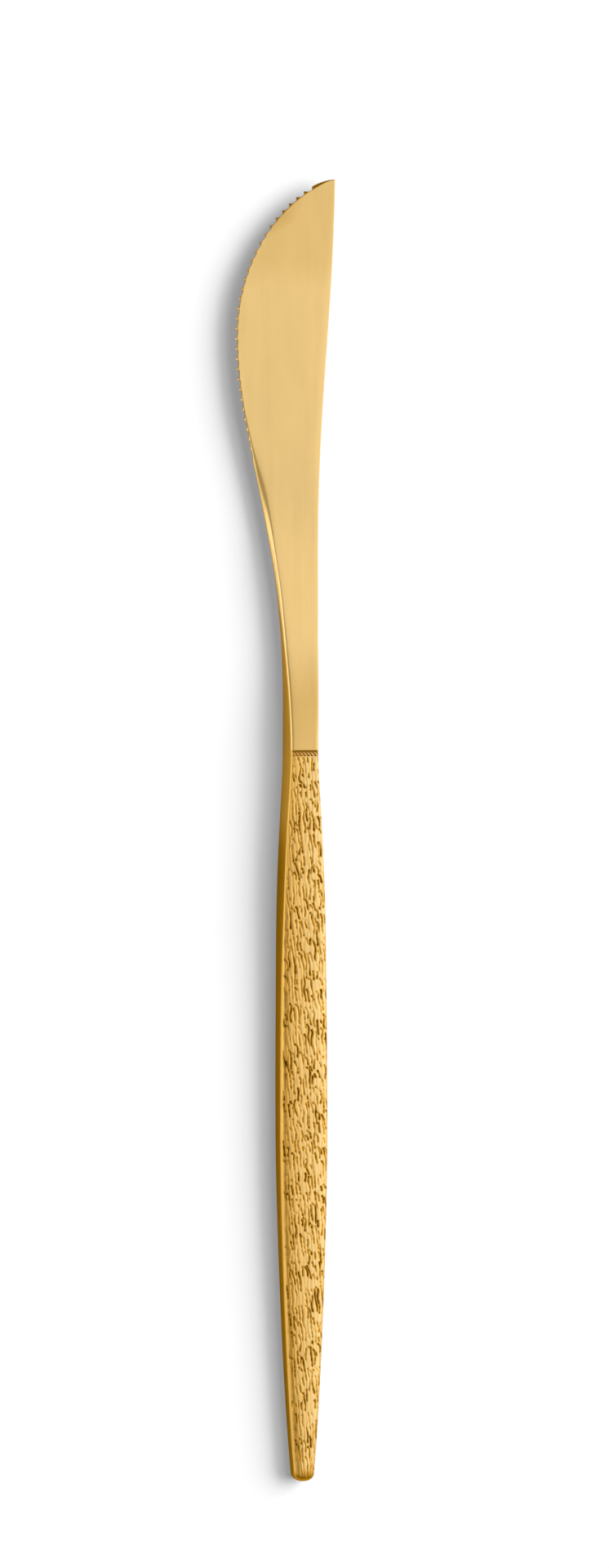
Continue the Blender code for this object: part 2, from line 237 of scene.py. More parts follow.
class NodeBench:
    """Adds and links the nodes of one shader tree."""

    MIX_INPUTS = (0, 6, 7)
    MIX_OUTPUT = 2

    def __init__(self, tree: bpy.types.ShaderNodeTree) -> None:
        """Take the tree to work on."""
        self.tree = tree

    def add(self, kind: str, values: dict[str, object] | None = None, **settings: object) -> bpy.types.Node:
        """Add a node.

        Args:
            kind: The node's type.
            values: Values for its input sockets, by name. A socket is linked.
            settings: Values for the node's own properties.

        Returns:
            The node.
        """
        node = self.tree.nodes.new(kind)
        for name, value in settings.items():
            setattr(node, name, value)
        for name, value in (values or {}).items():
            self.feed(node.inputs[name], value)
        return node

    def feed(self, socket: bpy.types.NodeSocket, value: object) -> None:
        """Link a socket to an input, or set the input's value.

        Args:
            socket: The input.
            value: A socket to link, or a plain value.
        """
        if isinstance(value, bpy.types.NodeSocket):
            self.tree.links.new(value, socket)
        else:
            socket.default_value = value

    def reckon(self, operation: str, *values: object) -> bpy.types.NodeSocket:
        """Work out a number.

        Args:
            operation: What is done with the values.
            values: The numbers or sockets that it takes.

        Returns:
            The result.
        """
        node = self.add("ShaderNodeMath", operation=operation)
        for socket, value in zip(node.inputs, values):
            self.feed(socket, value)
        return node.outputs[0]

    def tint(self, mode: str, share: object, first: object, second: object) -> bpy.types.NodeSocket:
        """Mix two colours.

        Args:
            mode: How they mix.
            share: How much of the second one.
            first: The first colour.
            second: The second colour.

        Returns:
            The mixed colour.
        """
        node = self.tree.nodes.new("ShaderNodeMix")
        node.data_type = "RGBA"
        node.blend_type = mode
        for index, value in zip(self.MIX_INPUTS, (share, first, second)):
            self.feed(node.inputs[index], value)
        return node.outputs[self.MIX_OUTPUT]


class SharedEffects:
    """Shader node groups that more than one finish uses."""

    FINE_SCALE = (9.0 / MM, 0.16 / MM, 9.0 / MM)
    BROAD_SCALE = (1.3 / MM, 0.03 / MM, 1.3 / MM)
    SMUDGE_SCALE = (0.45 / MM, 0.12 / MM, 0.45 / MM)
    SMUDGE_SPAN = (0.3, 0.7)

    def __init__(self) -> None:
        """Build the groups once."""
        self.brushing = self._brushing()
        self.smudges = self._smudges()

    @staticmethod
    def _group(name: str, inputs: dict[str, str], outputs: dict[str, str]) -> bpy.types.ShaderNodeTree:
        """Make an empty group.

        Args:
            name: The group's name.
            inputs: Socket types of its inputs, by name.
            outputs: Socket types of its outputs, by name.

        Returns:
            The group.
        """
        tree = bpy.data.node_groups.new(name, "ShaderNodeTree")
        for label, kind in inputs.items():
            tree.interface.new_socket(label, in_out="INPUT", socket_type=kind)
        for label, kind in outputs.items():
            tree.interface.new_socket(label, in_out="OUTPUT", socket_type=kind)
        return tree

    def _brushing(self) -> bpy.types.ShaderNodeTree:
        """Fine lines along the knife, as left by a satin wheel.

        Returns:
            A group that turns a place into a height and a tone round 1.
        """
        tree = self._group(
            "lengthwise_brushing",
            {"Vector": "NodeSocketVector", "Contrast": "NodeSocketFloat"},
            {"Tone": "NodeSocketFloat", "Height": "NodeSocketFloat"},
        )
        bench = NodeBench(tree)
        given = bench.add("NodeGroupInput").outputs
        stretched = bench.add(
            "ShaderNodeMapping",
            {"Vector": given["Vector"], "Scale": self.FINE_SCALE},
        )
        fine = bench.add(
            "ShaderNodeTexNoise",
            {"Vector": stretched.outputs["Vector"], "Scale": 1.0, "Detail": 3.0, "Roughness": 0.6},
        )
        broad_place = bench.add(
            "ShaderNodeMapping",
            {"Vector": given["Vector"], "Scale": self.BROAD_SCALE},
        )
        broad = bench.add(
            "ShaderNodeTexNoise",
            {"Vector": broad_place.outputs["Vector"], "Scale": 1.0, "Detail": 2.0},
        )
        both = bench.reckon("ADD", fine.outputs["Fac"], broad.outputs["Fac"])
        centred = bench.reckon("SUBTRACT", both, 1.0)
        tone = bench.reckon("MULTIPLY_ADD", centred, given["Contrast"], 1.0)
        out = bench.add("NodeGroupOutput")
        bench.feed(out.inputs["Tone"], tone)
        bench.feed(out.inputs["Height"], fine.outputs["Fac"])
        return tree

    def _smudges(self) -> bpy.types.ShaderNodeTree:
        """Soft patches where the metal is a little duller from handling.

        Returns:
            A group that turns a place into a roughness between two limits.
        """
        tree = self._group(
            "handling_smudges",
            {"Vector": "NodeSocketVector", "Smooth": "NodeSocketFloat", "Dull": "NodeSocketFloat"},
            {"Roughness": "NodeSocketFloat"},
        )
        bench = NodeBench(tree)
        given = bench.add("NodeGroupInput").outputs
        place = bench.add(
            "ShaderNodeMapping",
            {"Vector": given["Vector"], "Scale": self.SMUDGE_SCALE},
        )
        cloud = bench.add(
            "ShaderNodeTexNoise",
            {"Vector": place.outputs["Vector"], "Scale": 1.0, "Detail": 4.0, "Roughness": 0.65},
        )
        limits = bench.add(
            "ShaderNodeMapRange",
            {
                "Value": cloud.outputs["Fac"],
                "From Min": self.SMUDGE_SPAN[0],
                "From Max": self.SMUDGE_SPAN[1],
                "To Min": given["Smooth"],
                "To Max": given["Dull"],
            },
        )
        out = bench.add("NodeGroupOutput")
        bench.feed(out.inputs["Roughness"], limits.outputs["Result"])
        return tree


@dataclass(frozen=True)
class GoldFinish:
    """Gold plating over steel, with a painted highlight on the relief's crests and painted shade in deeper
    gold on walls, beside strokes and in hollows.
    """

    name: str
    # Colours: a painted highlight for the relief's crests, the plain face, and painted shade in deeper gold
    # for walls, stroke flanks and hollows.
    painted_highlight: Colour
    face: Colour
    wall: Colour
    mid_shade: Colour
    hollow: Colour
    grazing: Colour
    smooth: float
    dull: float
    contrast: float
    brush_depth: float
    painted_highlight_span: Point = (0.0, 0.36)
    mid_shade_span: Point = (0.2, 0.7)
    hollow_span: Point = (0.68, 0.92)

    @staticmethod
    def _share(bench: NodeBench, depth: bpy.types.NodeSocket, span: Point) -> bpy.types.NodeSocket:
        """Turn the hollow mask into a share that eases from 0 to 1.

        Args:
            bench: Where the node is added.
            depth: The hollow mask.
            span: The mask's values at which the share starts and ends.

        Returns:
            The share.
        """
        limits = bench.add(
            "ShaderNodeMapRange",
            {"Value": depth, "From Min": span[0], "From Max": span[1]},
            interpolation_type="SMOOTHSTEP",
        )
        return limits.outputs["Result"]

    def make(self, effects: SharedEffects) -> bpy.types.Material:
        """Build the material.

        Args:
            effects: The shared node groups.

        Returns:
            A material that reads the wall and hollow masks of a mesh, which place its painted highlight and
            painted shade.
        """
        material = bpy.data.materials.new(self.name)
        material.use_nodes = True
        bench = NodeBench(material.node_tree)
        shader = material.node_tree.nodes["Principled BSDF"]
        shader.inputs["Metallic"].default_value = 1.0
        shader.inputs["Specular Tint"].default_value = (*self.grazing, 1.0)
        place = bench.add("ShaderNodeTexCoord").outputs["Object"]

        brushing = bench.add("ShaderNodeGroup", node_tree=effects.brushing)
        bench.feed(brushing.inputs["Vector"], place)
        bench.feed(brushing.inputs["Contrast"], self.contrast)
        smudges = bench.add("ShaderNodeGroup", node_tree=effects.smudges)
        bench.feed(smudges.inputs["Vector"], place)
        bench.feed(smudges.inputs["Smooth"], self.smooth)
        bench.feed(smudges.inputs["Dull"], self.dull)

        # The wall mask picks the walls' painted shade colour; the hollow mask sets how much painted shade a
        # point takes, and its lowest values keep the painted highlight.
        wall = bench.add("ShaderNodeAttribute", attribute_name="wall").outputs["Fac"]
        depth = bench.add("ShaderNodeAttribute", attribute_name="hollow").outputs["Fac"]
        off_highlight = self._share(bench, depth, self.painted_highlight_span)
        mid_shade_share = self._share(bench, depth, self.mid_shade_span)
        hollow = self._share(bench, depth, self.hollow_span)
        tone = bench.add("ShaderNodeCombineColor")
        for channel in tone.inputs:
            bench.feed(channel, brushing.outputs["Tone"])
        faced = bench.tint("MIX", off_highlight, (*self.painted_highlight, 1.0), (*self.face, 1.0))
        plating = bench.tint("MIX", wall, faced, (*self.wall, 1.0))
        toned = bench.tint("MIX", mid_shade_share, plating, (*self.mid_shade, 1.0))
        shaded = bench.tint("MIX", hollow, toned, (*self.hollow, 1.0))
        streaked = bench.tint("MULTIPLY", 1.0, shaded, tone.outputs["Color"])
        bump = bench.add(
            "ShaderNodeBump",
            {"Height": brushing.outputs["Height"], "Distance": self.brush_depth, "Strength": 1.0},
        )
        bench.feed(shader.inputs["Base Color"], streaked)
        bench.feed(shader.inputs["Roughness"], smudges.outputs["Roughness"])
        bench.feed(shader.inputs["Normal"], bump.outputs["Normal"])
        return material


@dataclass(frozen=True)
class CementFinish:
    """Grey filler with fine grains."""

    name: str = "tang_cement"
    pale: Colour = (0.46, 0.44, 0.40)
    dark: Colour = (0.30, 0.28, 0.25)
    roughness: float = 0.9
    grain: float = 1.4 / MM
    grain_depth: float = 0.05 * MM

    def make(self) -> bpy.types.Material:
        """Build the material.

        Returns:
            A material that reads the mesh's own place.
        """
        material = bpy.data.materials.new(self.name)
        material.use_nodes = True
        bench = NodeBench(material.node_tree)
        shader = material.node_tree.nodes["Principled BSDF"]
        shader.inputs["Roughness"].default_value = self.roughness
        place = bench.add("ShaderNodeTexCoord").outputs["Object"]
        grains = bench.add("ShaderNodeTexNoise", {"Vector": place, "Scale": self.grain, "Detail": 4.0})
        colour = bench.tint("MIX", grains.outputs["Fac"], (*self.pale, 1.0), (*self.dark, 1.0))
        bump = bench.add("ShaderNodeBump", {"Height": grains.outputs["Fac"], "Distance": self.grain_depth})
        bench.feed(shader.inputs["Base Color"], colour)
        bench.feed(shader.inputs["Normal"], bump.outputs["Normal"])
        return material


@dataclass
class Blade:
    """The satin blade with its teeth, its neck and shoulder, and the tang."""

    lay: Lay
    finish: bpy.types.Material

    length: float = 89.9 * MM
    tip_offset: float = 5.9 * MM
    tip_lean: float = math.radians(0.5)
    tip_pull: float = 5.5 * MM
    belly: Point = (-10.65 * MM, 65.0 * MM)
    belly_pull_to_tip: float = 14.7 * MM
    belly_pull_to_choil: float = 10.0 * MM
    choil: Point = (-6.05 * MM, 37.8 * MM)
    choil_lean: float = math.radians(11.2)
    choil_pull: float = 12.9 * MM
    neck_pull_on_edge: float = 15.6 * MM
    spine_lean: float = math.radians(1.2)
    spine_pull_from_tip: float = 22.4 * MM
    waist: Point = (2.74 * MM, 29.0 * MM)
    waist_pull_to_tip: float = 25.0 * MM
    waist_pull_to_neck: float = 20.0 * MM
    neck_pull_on_spine: float = 6.0 * MM

    tip_thickness: float = 0.8 * MM
    spine_thickness: float = 2.0 * MM
    bevel_thickness: float = 0.6 * MM
    edge_land: float = 0.12 * MM
    edge_curve: float = 3.0
    bevel_width: float = 0.52 * MM
    spine_round: float = 0.15 * MM

    tip_even_length: float = 8.0 * MM
    lead_bevel: float = 0.12 * MM
    serration_start: float = 3.9 * MM
    tooth_count: int = 30
    tooth_pitch: float = 1.6 * MM
    tooth_depth: float = 0.48 * MM
    tooth_flank: float = 0.12
    tooth_hollow: float = 3.6
    teeth_shrinking: int = 9
    teeth_shrunk: float = 0.7

    neck_width: float = 4.56 * MM
    neck_thickness: float = 4.798 * MM
    neck_round: float = 0.42 * MM
    neck_swell_length: float = 20.0 * MM
    # Painted shade: deeper gold on the neck near the shoulder.
    neck_shade: float = 0.42
    neck_shade_span: Point = (7.0 * MM, 26.0 * MM)
    # Painted shade on the teeth near the tip and along their bevel line.
    tooth_shade: float = 0.86
    tooth_shade_span: Point = (8.0 * MM, 19.0 * MM)
    bevel_line_shade: float = 0.5
    # Painted shade on the face toward the tip.
    tip_shade: float = 0.34
    tip_shade_span: Point = (64.0 * MM, 78.0 * MM)
    # Painted shade on the face beside the teeth at the belly.
    belly_shade: float = 0.45
    belly_shade_at: float = 11.0 * MM
    belly_shade_reach: Point = (16.0 * MM, 7.0 * MM)
    choil_bevel: float = 0.4 * MM
    choil_bevel_at: float = 41.0 * MM
    choil_bevel_reach: float = 13.0 * MM
    full_span: Point = (24.0 * MM, 48.0 * MM)
    wall_span: Point = (14.0 * MM, 27.0 * MM)
    round_span: Point = (20.0 * MM, 30.0 * MM)
    least_round: float = 0.3
    wall_sharpness: float = 16.0
    wall_onset: int = 3
    choil_fade_length: float = 14.0 * MM
    choil_fade_lead: float = 8.0 * MM
    shoulder_fall: float = 0.03 * MM
    shoulder_fall_width: float = 0.9 * MM

    tang_length: float = 55.0 * MM
    tang_width: float = 2.2 * MM
    tang_thickness: float = 1.9 * MM
    tang_end_share: float = 0.73

    lead_rows: int = 14
    rows_per_tooth: int = 11
    choil_rows: int = 90
    corner_steps: int = 5
    face_steps: int = 16
    face_crowding: float = 1.4
    wall_steps: int = 2
    smooth_angle: float = math.radians(60.0)

    def edge(self) -> PlanCurve:
        """The cutting edge.

        Returns:
            The line from the tip's corner round the belly to the shoulder.
        """
        tip = np.array((self.tip_offset, self.length))
        belly = np.array(self.belly)
        choil = np.array(self.choil)
        shoulder = np.array((-self.neck_width / 2, 0.0))
        from_tip = np.array((-math.cos(self.tip_lean), -math.sin(self.tip_lean)))
        along_choil = np.array((math.sin(self.choil_lean), -math.cos(self.choil_lean)))
        down = np.array((0.0, -1.0))
        return PlanCurve((
            (tip, tip + from_tip * self.tip_pull, belly - down * self.belly_pull_to_tip, belly),
            (belly, belly + down * self.belly_pull_to_choil, choil - along_choil * self.choil_pull, choil),
            (choil, choil + along_choil * self.choil_pull,
             shoulder - down * self.neck_pull_on_edge, shoulder),
        ))

    def spine(self) -> PlanCurve:
        """The back of the blade.

        Returns:
            The line from the tip's corner through the waist to the shoulder.
        """
        tip = np.array((self.tip_offset, self.length))
        waist = np.array(self.waist)
        shoulder = np.array((self.neck_width / 2, 0.0))
        from_tip = np.array((-math.sin(self.spine_lean), -math.cos(self.spine_lean)))
        down = np.array((0.0, -1.0))
        return PlanCurve((
            (tip, tip + from_tip * self.spine_pull_from_tip, waist - down * self.waist_pull_to_tip, waist),
            (waist, waist + down * self.waist_pull_to_neck,
             shoulder - down * self.neck_pull_on_spine, shoulder),
        ))

    def swell(self, from_shoulder: np.ndarray) -> np.ndarray:
        """The thickness that the neck adds to the blade near the shoulder."""
        added = self.neck_thickness - self.spine_thickness
        return added * ease(1.0 - from_shoulder / self.neck_swell_length)

    def thickness_at_spine(self, from_shoulder: np.ndarray) -> np.ndarray:
        """The blade's thickness along its back.

        Args:
            from_shoulder: Distances from the shoulder.

        Returns:
            The thickness at each distance.
        """
        share = (from_shoulder - self.neck_swell_length) / (self.length - self.neck_swell_length)
        plain = blend(self.spine_thickness, self.tip_thickness, np.maximum(share, 0.0))
        return plain + self.swell(from_shoulder)

    def thickness_at_bevel(self, from_shoulder: np.ndarray) -> np.ndarray:
        """The blade's thickness along the inner line of the bevel."""
        full = self.thickness_at_spine(from_shoulder)
        return blend(full, self.bevel_thickness, rise(from_shoulder, self.full_span))

    def stations(self, edge: PlanCurve) -> tuple[np.ndarray, np.ndarray]:
        """The places along the edge at which the blade gets a ring.

        Args:
            edge: The cutting edge.

        Returns:
            Distances from the tip, and how far the teeth are cut back at each.
        """
        lead = np.linspace(0.0, self.serration_start, self.lead_rows + 1)[1:-1]
        past_flank = np.linspace(self.tooth_flank, 1.0, self.rows_per_tooth - 1)[:-1]
        phases = np.concatenate([[0.0, self.tooth_flank / 2], past_flank])
        climb = np.clip((phases - self.tooth_flank) / (1.0 - self.tooth_flank), 0.0, 1.0)
        hollow = 1.0 - climb**self.tooth_hollow
        tooth = np.where(phases < self.tooth_flank, phases / self.tooth_flank, hollow)
        turns = np.arange(self.tooth_count)[:, None] + phases[None, :]
        teeth = self.serration_start + turns.ravel() * self.tooth_pitch
        shrinking = np.arange(self.tooth_count) + self.teeth_shrinking - self.tooth_count
        shrink = ease(shrinking / self.teeth_shrinking)
        cuts = (tooth[None, :] * self.tooth_depth * (1.0 - self.teeth_shrunk * shrink)[:, None]).ravel()
        end = self.serration_start + self.tooth_count * self.tooth_pitch
        rest = np.linspace(end, edge.length, self.choil_rows + 1)
        return (
            np.concatenate([lead, teeth, rest]),
            np.concatenate([np.zeros_like(lead), cuts, np.zeros_like(rest)]),
        )

    def rings(self) -> tuple[np.ndarray, dict[str, np.ndarray]]:
        """The blade's rings from the tip to the end of the tang.

        Returns:
            The rings round the shoulder, and the masks of their points.
        """
        edge, spine = self.edge(), self.spine()
        distance, cut = self.stations(edge)
        on_edge, into_blade = edge.at(distance), edge.left_normal(distance)
        along = distance / edge.length * spine.length
        on_spine, off_spine = spine.at(along), -spine.left_normal(along)

        spine_half = self.thickness_at_spine(on_spine[:, 1]) / 2
        grown = ease(distance / self.serration_start)
        bevel_half = blend(spine_half, self.thickness_at_bevel(on_edge[:, 1]) / 2,
                           ease(distance / self.tip_even_length))
        serration_end = self.serration_start + self.tooth_count * self.tooth_pitch
        faded = ease((distance - serration_end + self.choil_fade_lead) / self.choil_fade_length)
        bevel = blend(blend(self.lead_bevel, self.bevel_width, grown), self.neck_round, faded)
        at_choil = tent(on_edge[:, 1] - self.choil_bevel_at, self.choil_bevel_reach)
        bevel += self.choil_bevel * ease(at_choil) * faded
        land = blend(self.tip_thickness / 2, self.edge_land / 2, grown)
        wall_half = blend(land, bevel_half - self.neck_round, fall(on_edge[:, 1], self.wall_span))
        rounded = faded * blend(self.least_round, 1.0, fall(on_edge[:, 1], self.round_span))
        near_neck = ease(1.0 - on_spine[:, 1] / self.neck_swell_length)
        corner = blend(self.spine_round, self.neck_round, near_neck)

        near_belly = tent(distance - self.belly_shade_at, self.belly_shade_reach[0])
        # Painted shade on the teeth, fading out away from the tip.
        teeth_shade = self.tooth_shade * (1.0 - rise(distance, self.tooth_shade_span))

        columns, heights, walls, painted_shades = [], [], [], []

        def lay_column(place: np.ndarray, height: np.ndarray, wall: Numbers,
                       tone: Numbers = 0.0) -> None:
            """Keep one line of points that runs along the blade's upper half.

            Args:
                place: X and Y of the points.
                height: Their Z.
                wall: How much they belong to a wall.
                tone: How much painted shade they take.
            """
            columns.append(place)
            heights.append(height)
            walls.append(np.zeros_like(height) + wall)
            painted_shades.append(np.zeros_like(height) + tone)

        for step in range(self.wall_steps):
            lay_column(on_spine, (spine_half - corner) * step / self.wall_steps, 1.0)
        for step in range(self.corner_steps):
            turn = step / self.corner_steps * math.pi / 2
            inset = corner * (1.0 - math.cos(turn))
            lay_column(on_spine + off_spine * inset[:, None], spine_half - corner * (1.0 - math.sin(turn)),
                       math.cos(turn) ** self.wall_sharpness)
        spine_line = on_spine + off_spine * corner[:, None]
        bevel_line = on_edge + into_blade * bevel[:, None]
        chord = np.linalg.norm(spine_line - bevel_line, axis=1)
        for step in range(self.face_steps):
            share = step / self.face_steps
            share = 1.0 - (1.0 - share) ** self.face_crowding
            from_bevel = (1.0 - share) * chord
            near_edge = np.clip(1.0 - from_bevel / self.shoulder_fall_width, 0.0, 1.0)
            sunk = self.shoulder_fall * faded * near_edge**2
            place = blend(spine_line, bevel_line, share)
            # Painted shade on the face toward the tip and beside the teeth at the belly.
            tone = np.maximum(
                self.tip_shade * rise(place[:, 1], self.tip_shade_span),
                self.belly_shade * ease(near_belly * tent(from_bevel, self.belly_shade_reach[1])),
            )
            lay_column(place, blend(spine_half, bevel_half, share) - sunk, 0.0, tone)
        low = bevel_half - self.shoulder_fall * faded
        curve = blend(self.edge_curve, 1.0, faded)
        for step in range(self.corner_steps + 1):
            share = step / self.corner_steps
            turn = share * math.pi / 2
            flat_inset = blend(bevel, cut, share)
            flat_height = blend(low, wall_half, np.maximum(1.0 - flat_inset / bevel, 0.0) ** curve)
            round_inset = bevel * (1.0 - math.sin(turn))
            round_height = low - (low - wall_half) * (1.0 - math.cos(turn))
            inset = blend(flat_inset, round_inset, rounded)
            dark = teeth_shade if step else np.maximum(tone, self.bevel_line_shade * teeth_shade)
            lay_column(on_edge + into_blade * inset[:, None], blend(flat_height, round_height, rounded),
                       share**self.wall_onset * faded, dark)
        lowest = heights[-1]
        cut_edge = columns[-1]
        for step in range(1, self.wall_steps + 1):
            lay_column(cut_edge, lowest * (1.0 - step / self.wall_steps), faded, teeth_shade)

        upper = np.concatenate([np.stack(columns, axis=1), np.stack(heights, axis=1)[:, :, None]], axis=2)
        under = upper[:, -2:0:-1] * np.array((1.0, 1.0, -1.0))
        body = np.concatenate([upper, under], axis=1)
        tang = self.tang_rings(body[-1])
        rings = np.concatenate([self.tip_ring(body[0])[None], body, tang])
        wall_mask = self.whole_mask(walls, 1.0, len(tang))
        painted_shade_mask = self.whole_mask(painted_shades, 0.0, len(tang))
        # Painted shade near the shoulder, kept off the walls.
        neck_shade = self.neck_shade * fall(rings[:, :, 1], self.neck_shade_span)
        return rings, {"wall": wall_mask, "hollow": np.maximum(painted_shade_mask, neck_shade * (1.0 - wall_mask))}

    @staticmethod
    def whole_mask(columns: list[np.ndarray], on_tang: float, tang_rows: int) -> np.ndarray:
        """Carry a mask of the blade's upper half round its underside and on to its ends.

        Args:
            columns: The mask along each line of points.
            on_tang: Its value on the tang.
            tang_rows: How many rings the tang has.

        Returns:
            The mask of all rings, from the tip's to the tang's last.
        """
        upper = np.stack(columns, axis=1)
        body = np.concatenate([upper, upper[:, -2:0:-1]], axis=1)
        return np.concatenate([body[:1], body, np.full((tang_rows, body.shape[1]), on_tang)])

    def tip_ring(self, first: np.ndarray) -> np.ndarray:
        """Fold the first ring into the upright line of the tip's corner.

        Args:
            first: The ring next to the tip.

        Returns:
            A ring whose points fall together where they meet.
        """
        half = self.tip_thickness / 2
        ring = np.empty_like(first)
        ring[:, 0] = self.tip_offset
        ring[:, 1] = self.length
        upper_count = len(first) // 2 + 1
        levels = np.ones(upper_count)
        walls = np.arange(self.wall_steps) / self.wall_steps
        levels[: self.wall_steps] = walls
        levels[upper_count - self.wall_steps:] = walls[::-1]
        ring[:, 2] = np.concatenate([levels, -levels[-2:0:-1]]) * half
        return ring

    def tang_rings(self, shoulder: np.ndarray) -> np.ndarray:
        """The rings of the tang, drawn in from the shoulder's own ring.

        Args:
            shoulder: The blade's last ring.

        Returns:
            The tang's first and last ring.
        """
        narrower = self.tang_width / self.neck_width
        thinner = self.tang_thickness / self.neck_thickness
        root = shoulder * np.array((narrower, 1.0, thinner))
        end = root * np.array((self.tang_end_share, 1.0, self.tang_end_share))
        end[:, 1] = -self.tang_length
        return np.stack([root, end])

    def build(self) -> bpy.types.Object:
        """Model the blade and dress it.

        Returns:
            The blade with its neck and tang.
        """
        rings, masks = self.rings()
        piece = wrapped_grid("blade_satin", self.lay.place(rings), self.smooth_angle, masks)
        piece.data.materials.append(self.finish)
        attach(piece, BODY)
        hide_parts("blade")
        return piece


@dataclass
class BarkRelief:
    """Bark-like relief: wavy strokes along the handle, a dot at each end and soft mounds between, with
    painted shade in and beside the strokes.
    """

    seed: int
    pitch: float = 0.54 * MM
    lean: float = 0.09
    unevenness: float = 0.15 * MM
    wander: float = 0.13 * MM
    wander_lengths: Point = (2.2 * MM, 9.0 * MM)
    waves: int = 3

    band: Point = (1.3 * MM, 2.7 * MM)
    band_slope: Point = (-0.75, 0.35)
    band_jitter: float = 1.3 * MM
    skipped: float = 0.2
    shortest: float = 0.8 * MM
    coarse_from: float = 80.0 * MM
    coarse_growth: float = 0.35

    share: Point = (0.4, 1.0)
    strength: Point = (0.6, 1.45)
    reach: float = 0.185 * MM
    cap: float = 0.2 * MM
    dot: float = 0.22
    dot_length: float = 0.18 * MM
    end_dot: float = 0.8
    trail: float = 0.8
    hook_power: float = 1.6
    hook_width: float = 0.42 * MM
    hook_length: float = 0.42 * MM
    shade: float = 0.56
    shade_reach: float = 0.36 * MM
    pulse: float = 0.2
    pulse_lengths: Point = (0.6 * MM, 2.0 * MM)
    patch: float = 0.38
    patch_length: float = 6.5 * MM
    patch_turn: float = 0.9

    crown: float = 0.03 * MM
    crown_power: float = 2.2
    mound: float = 0.025 * MM
    groove_depth: float = 0.09 * MM
    groove_reach: float = 0.24 * MM
    # Fine stippled pits on the face's left side, with painted shade in them.
    stipple: float = 0.012 * MM
    stipple_shade: float = 0.16
    stipple_from: float = 0.2
    stipple_span: float = 0.5

    def lines(self, from_shoulder: np.ndarray, half_width: float,
              chance: np.random.Generator) -> np.ndarray:
        """Lay the wavy lines that the strokes follow.

        Args:
            from_shoulder: Distance of each row from the shoulder.
            half_width: Half of the handle's greatest width.
            chance: The source of chance.

        Returns:
            The X of each line at each row.
        """
        drift = self.lean * (from_shoulder - from_shoulder.mean())
        count = math.ceil((half_width + drift.max()) / self.pitch) + 2
        rest = np.arange(-count, count + 1) * self.pitch
        rest = rest + self.unevenness * chance.uniform(-1.0, 1.0, size=len(rest))
        lengths = chance.uniform(*self.wander_lengths, size=(self.waves, len(rest)))
        phases = chance.uniform(0.0, 2.0 * math.pi, size=lengths.shape)
        turns = 2.0 * math.pi * from_shoulder[:, None, None] / lengths + phases
        sway = self.wander * np.sin(turns).sum(axis=1) / math.sqrt(self.waves)
        return rest + drift[:, None] + sway

    def starts(self, from_shoulder: np.ndarray, count: int,
               chance: np.random.Generator) -> list[np.ndarray]:
        """Choose where the strokes of each line begin, in slanting bands across the handle.

        Args:
            from_shoulder: Distance of each mesh row from the shoulder.
            count: How many lines there are.
            chance: The source of chance.

        Returns:
            For each line, the sorted distances from the shoulder.
        """
        first, last = from_shoulder[0], from_shoulder[-1]
        spare = 2.0 * self.band[1]
        places = [[first - spare, last + spare] for _ in range(count)]
        offsets = (np.arange(count) - count / 2) * self.pitch
        band = first - spare
        while band < last + self.band[1]:
            drift = self.lean * (band - from_shoulder.mean())
            begins = band + chance.uniform(*self.band_slope) * (offsets + drift)
            begins += self.band_jitter * chance.uniform(-1.0, 1.0, size=count)
            for line in np.flatnonzero(chance.uniform(size=count) > self.skipped):
                places[line].append(begins[line])
            coarse = rise(band, (self.coarse_from, last))
            band += chance.uniform(*self.band) * (1.0 + self.coarse_growth * coarse)
        rows = [np.sort(np.array(line)) for line in places]
        return [line[np.append(True, np.diff(line) > self.shortest)] for line in rows]

    def strokes(self, from_shoulder: np.ndarray, count: int, chance: np.random.Generator) -> np.ndarray:
        """Break the lines into strokes.

        Args:
            from_shoulder: Distance of each mesh row from the shoulder.
            count: How many lines there are.
            chance: The source of chance.

        Returns:
            For each mesh row and line: the distance below the stroke's start, the distance to the
            next start, the stroke's length, its strength, and how far its top hooks to the left.
        """
        table = np.zeros((5, len(from_shoulder), count))
        for line, begins in enumerate(self.starts(from_shoulder, count, chance)):
            index = np.clip(np.searchsorted(begins, from_shoulder, side="right") - 1, 0, len(begins) - 2)
            room = np.diff(begins)[index]
            table[0, :, line] = from_shoulder - begins[index]
            table[1, :, line] = room
            length = room * chance.uniform(*self.share, size=len(begins))[index]
            table[2, :, line] = np.maximum(length - 2.0 * self.cap, 0.0)
            table[3, :, line] = chance.uniform(*self.strength, size=len(begins))[index]
            table[4, :, line] = chance.uniform(size=len(begins))[index] ** self.hook_power
        return table

    def pulses(self, from_shoulder: np.ndarray, count: int, chance: np.random.Generator) -> np.ndarray:
        """Let the strokes grow weaker and stronger along the handle.

        Args:
            from_shoulder: Distance of each row from the shoulder.
            count: How many lines there are.
            chance: The source of chance.

        Returns:
            A factor round 1 for each row and line.
        """
        turns = 2.0 * math.pi * from_shoulder[:, None]
        lengths = chance.uniform(*self.pulse_lengths, size=count)
        quick = np.sin(turns / lengths + chance.uniform(0.0, 2.0 * math.pi, size=count))
        drift = np.cumsum(chance.normal(0.0, self.patch_turn, size=count))
        slow = np.sin(turns / self.patch_length + drift)
        return 1.0 + self.pulse * quick + self.patch * slow

    def carve(self, across: np.ndarray, from_shoulder: np.ndarray) -> tuple[np.ndarray, np.ndarray]:
        """Work out the relief on a grid of the face.

        Args:
            across: X of the points, of shape (rows, columns).
            from_shoulder: Distance of each row from the shoulder.

        Returns:
            How deep each point is cut, and how close it is to the bottom of a stroke, which sets its
            painted shade.
        """
        chance = np.random.default_rng(self.seed)
        lines = self.lines(from_shoulder, float(across.max()), chance)
        below, room, length, strength, hook = self.strokes(from_shoulder, lines.shape[1], chance)
        strength = strength * self.pulses(from_shoulder, lines.shape[1], chance)
        between = (across[:, :, None] > lines[:, None, :]).sum(axis=2)

        def at(values: np.ndarray, index: np.ndarray) -> np.ndarray:
            """Pick each point's value from those of its mesh row."""
            return np.take_along_axis(values, index, axis=1)

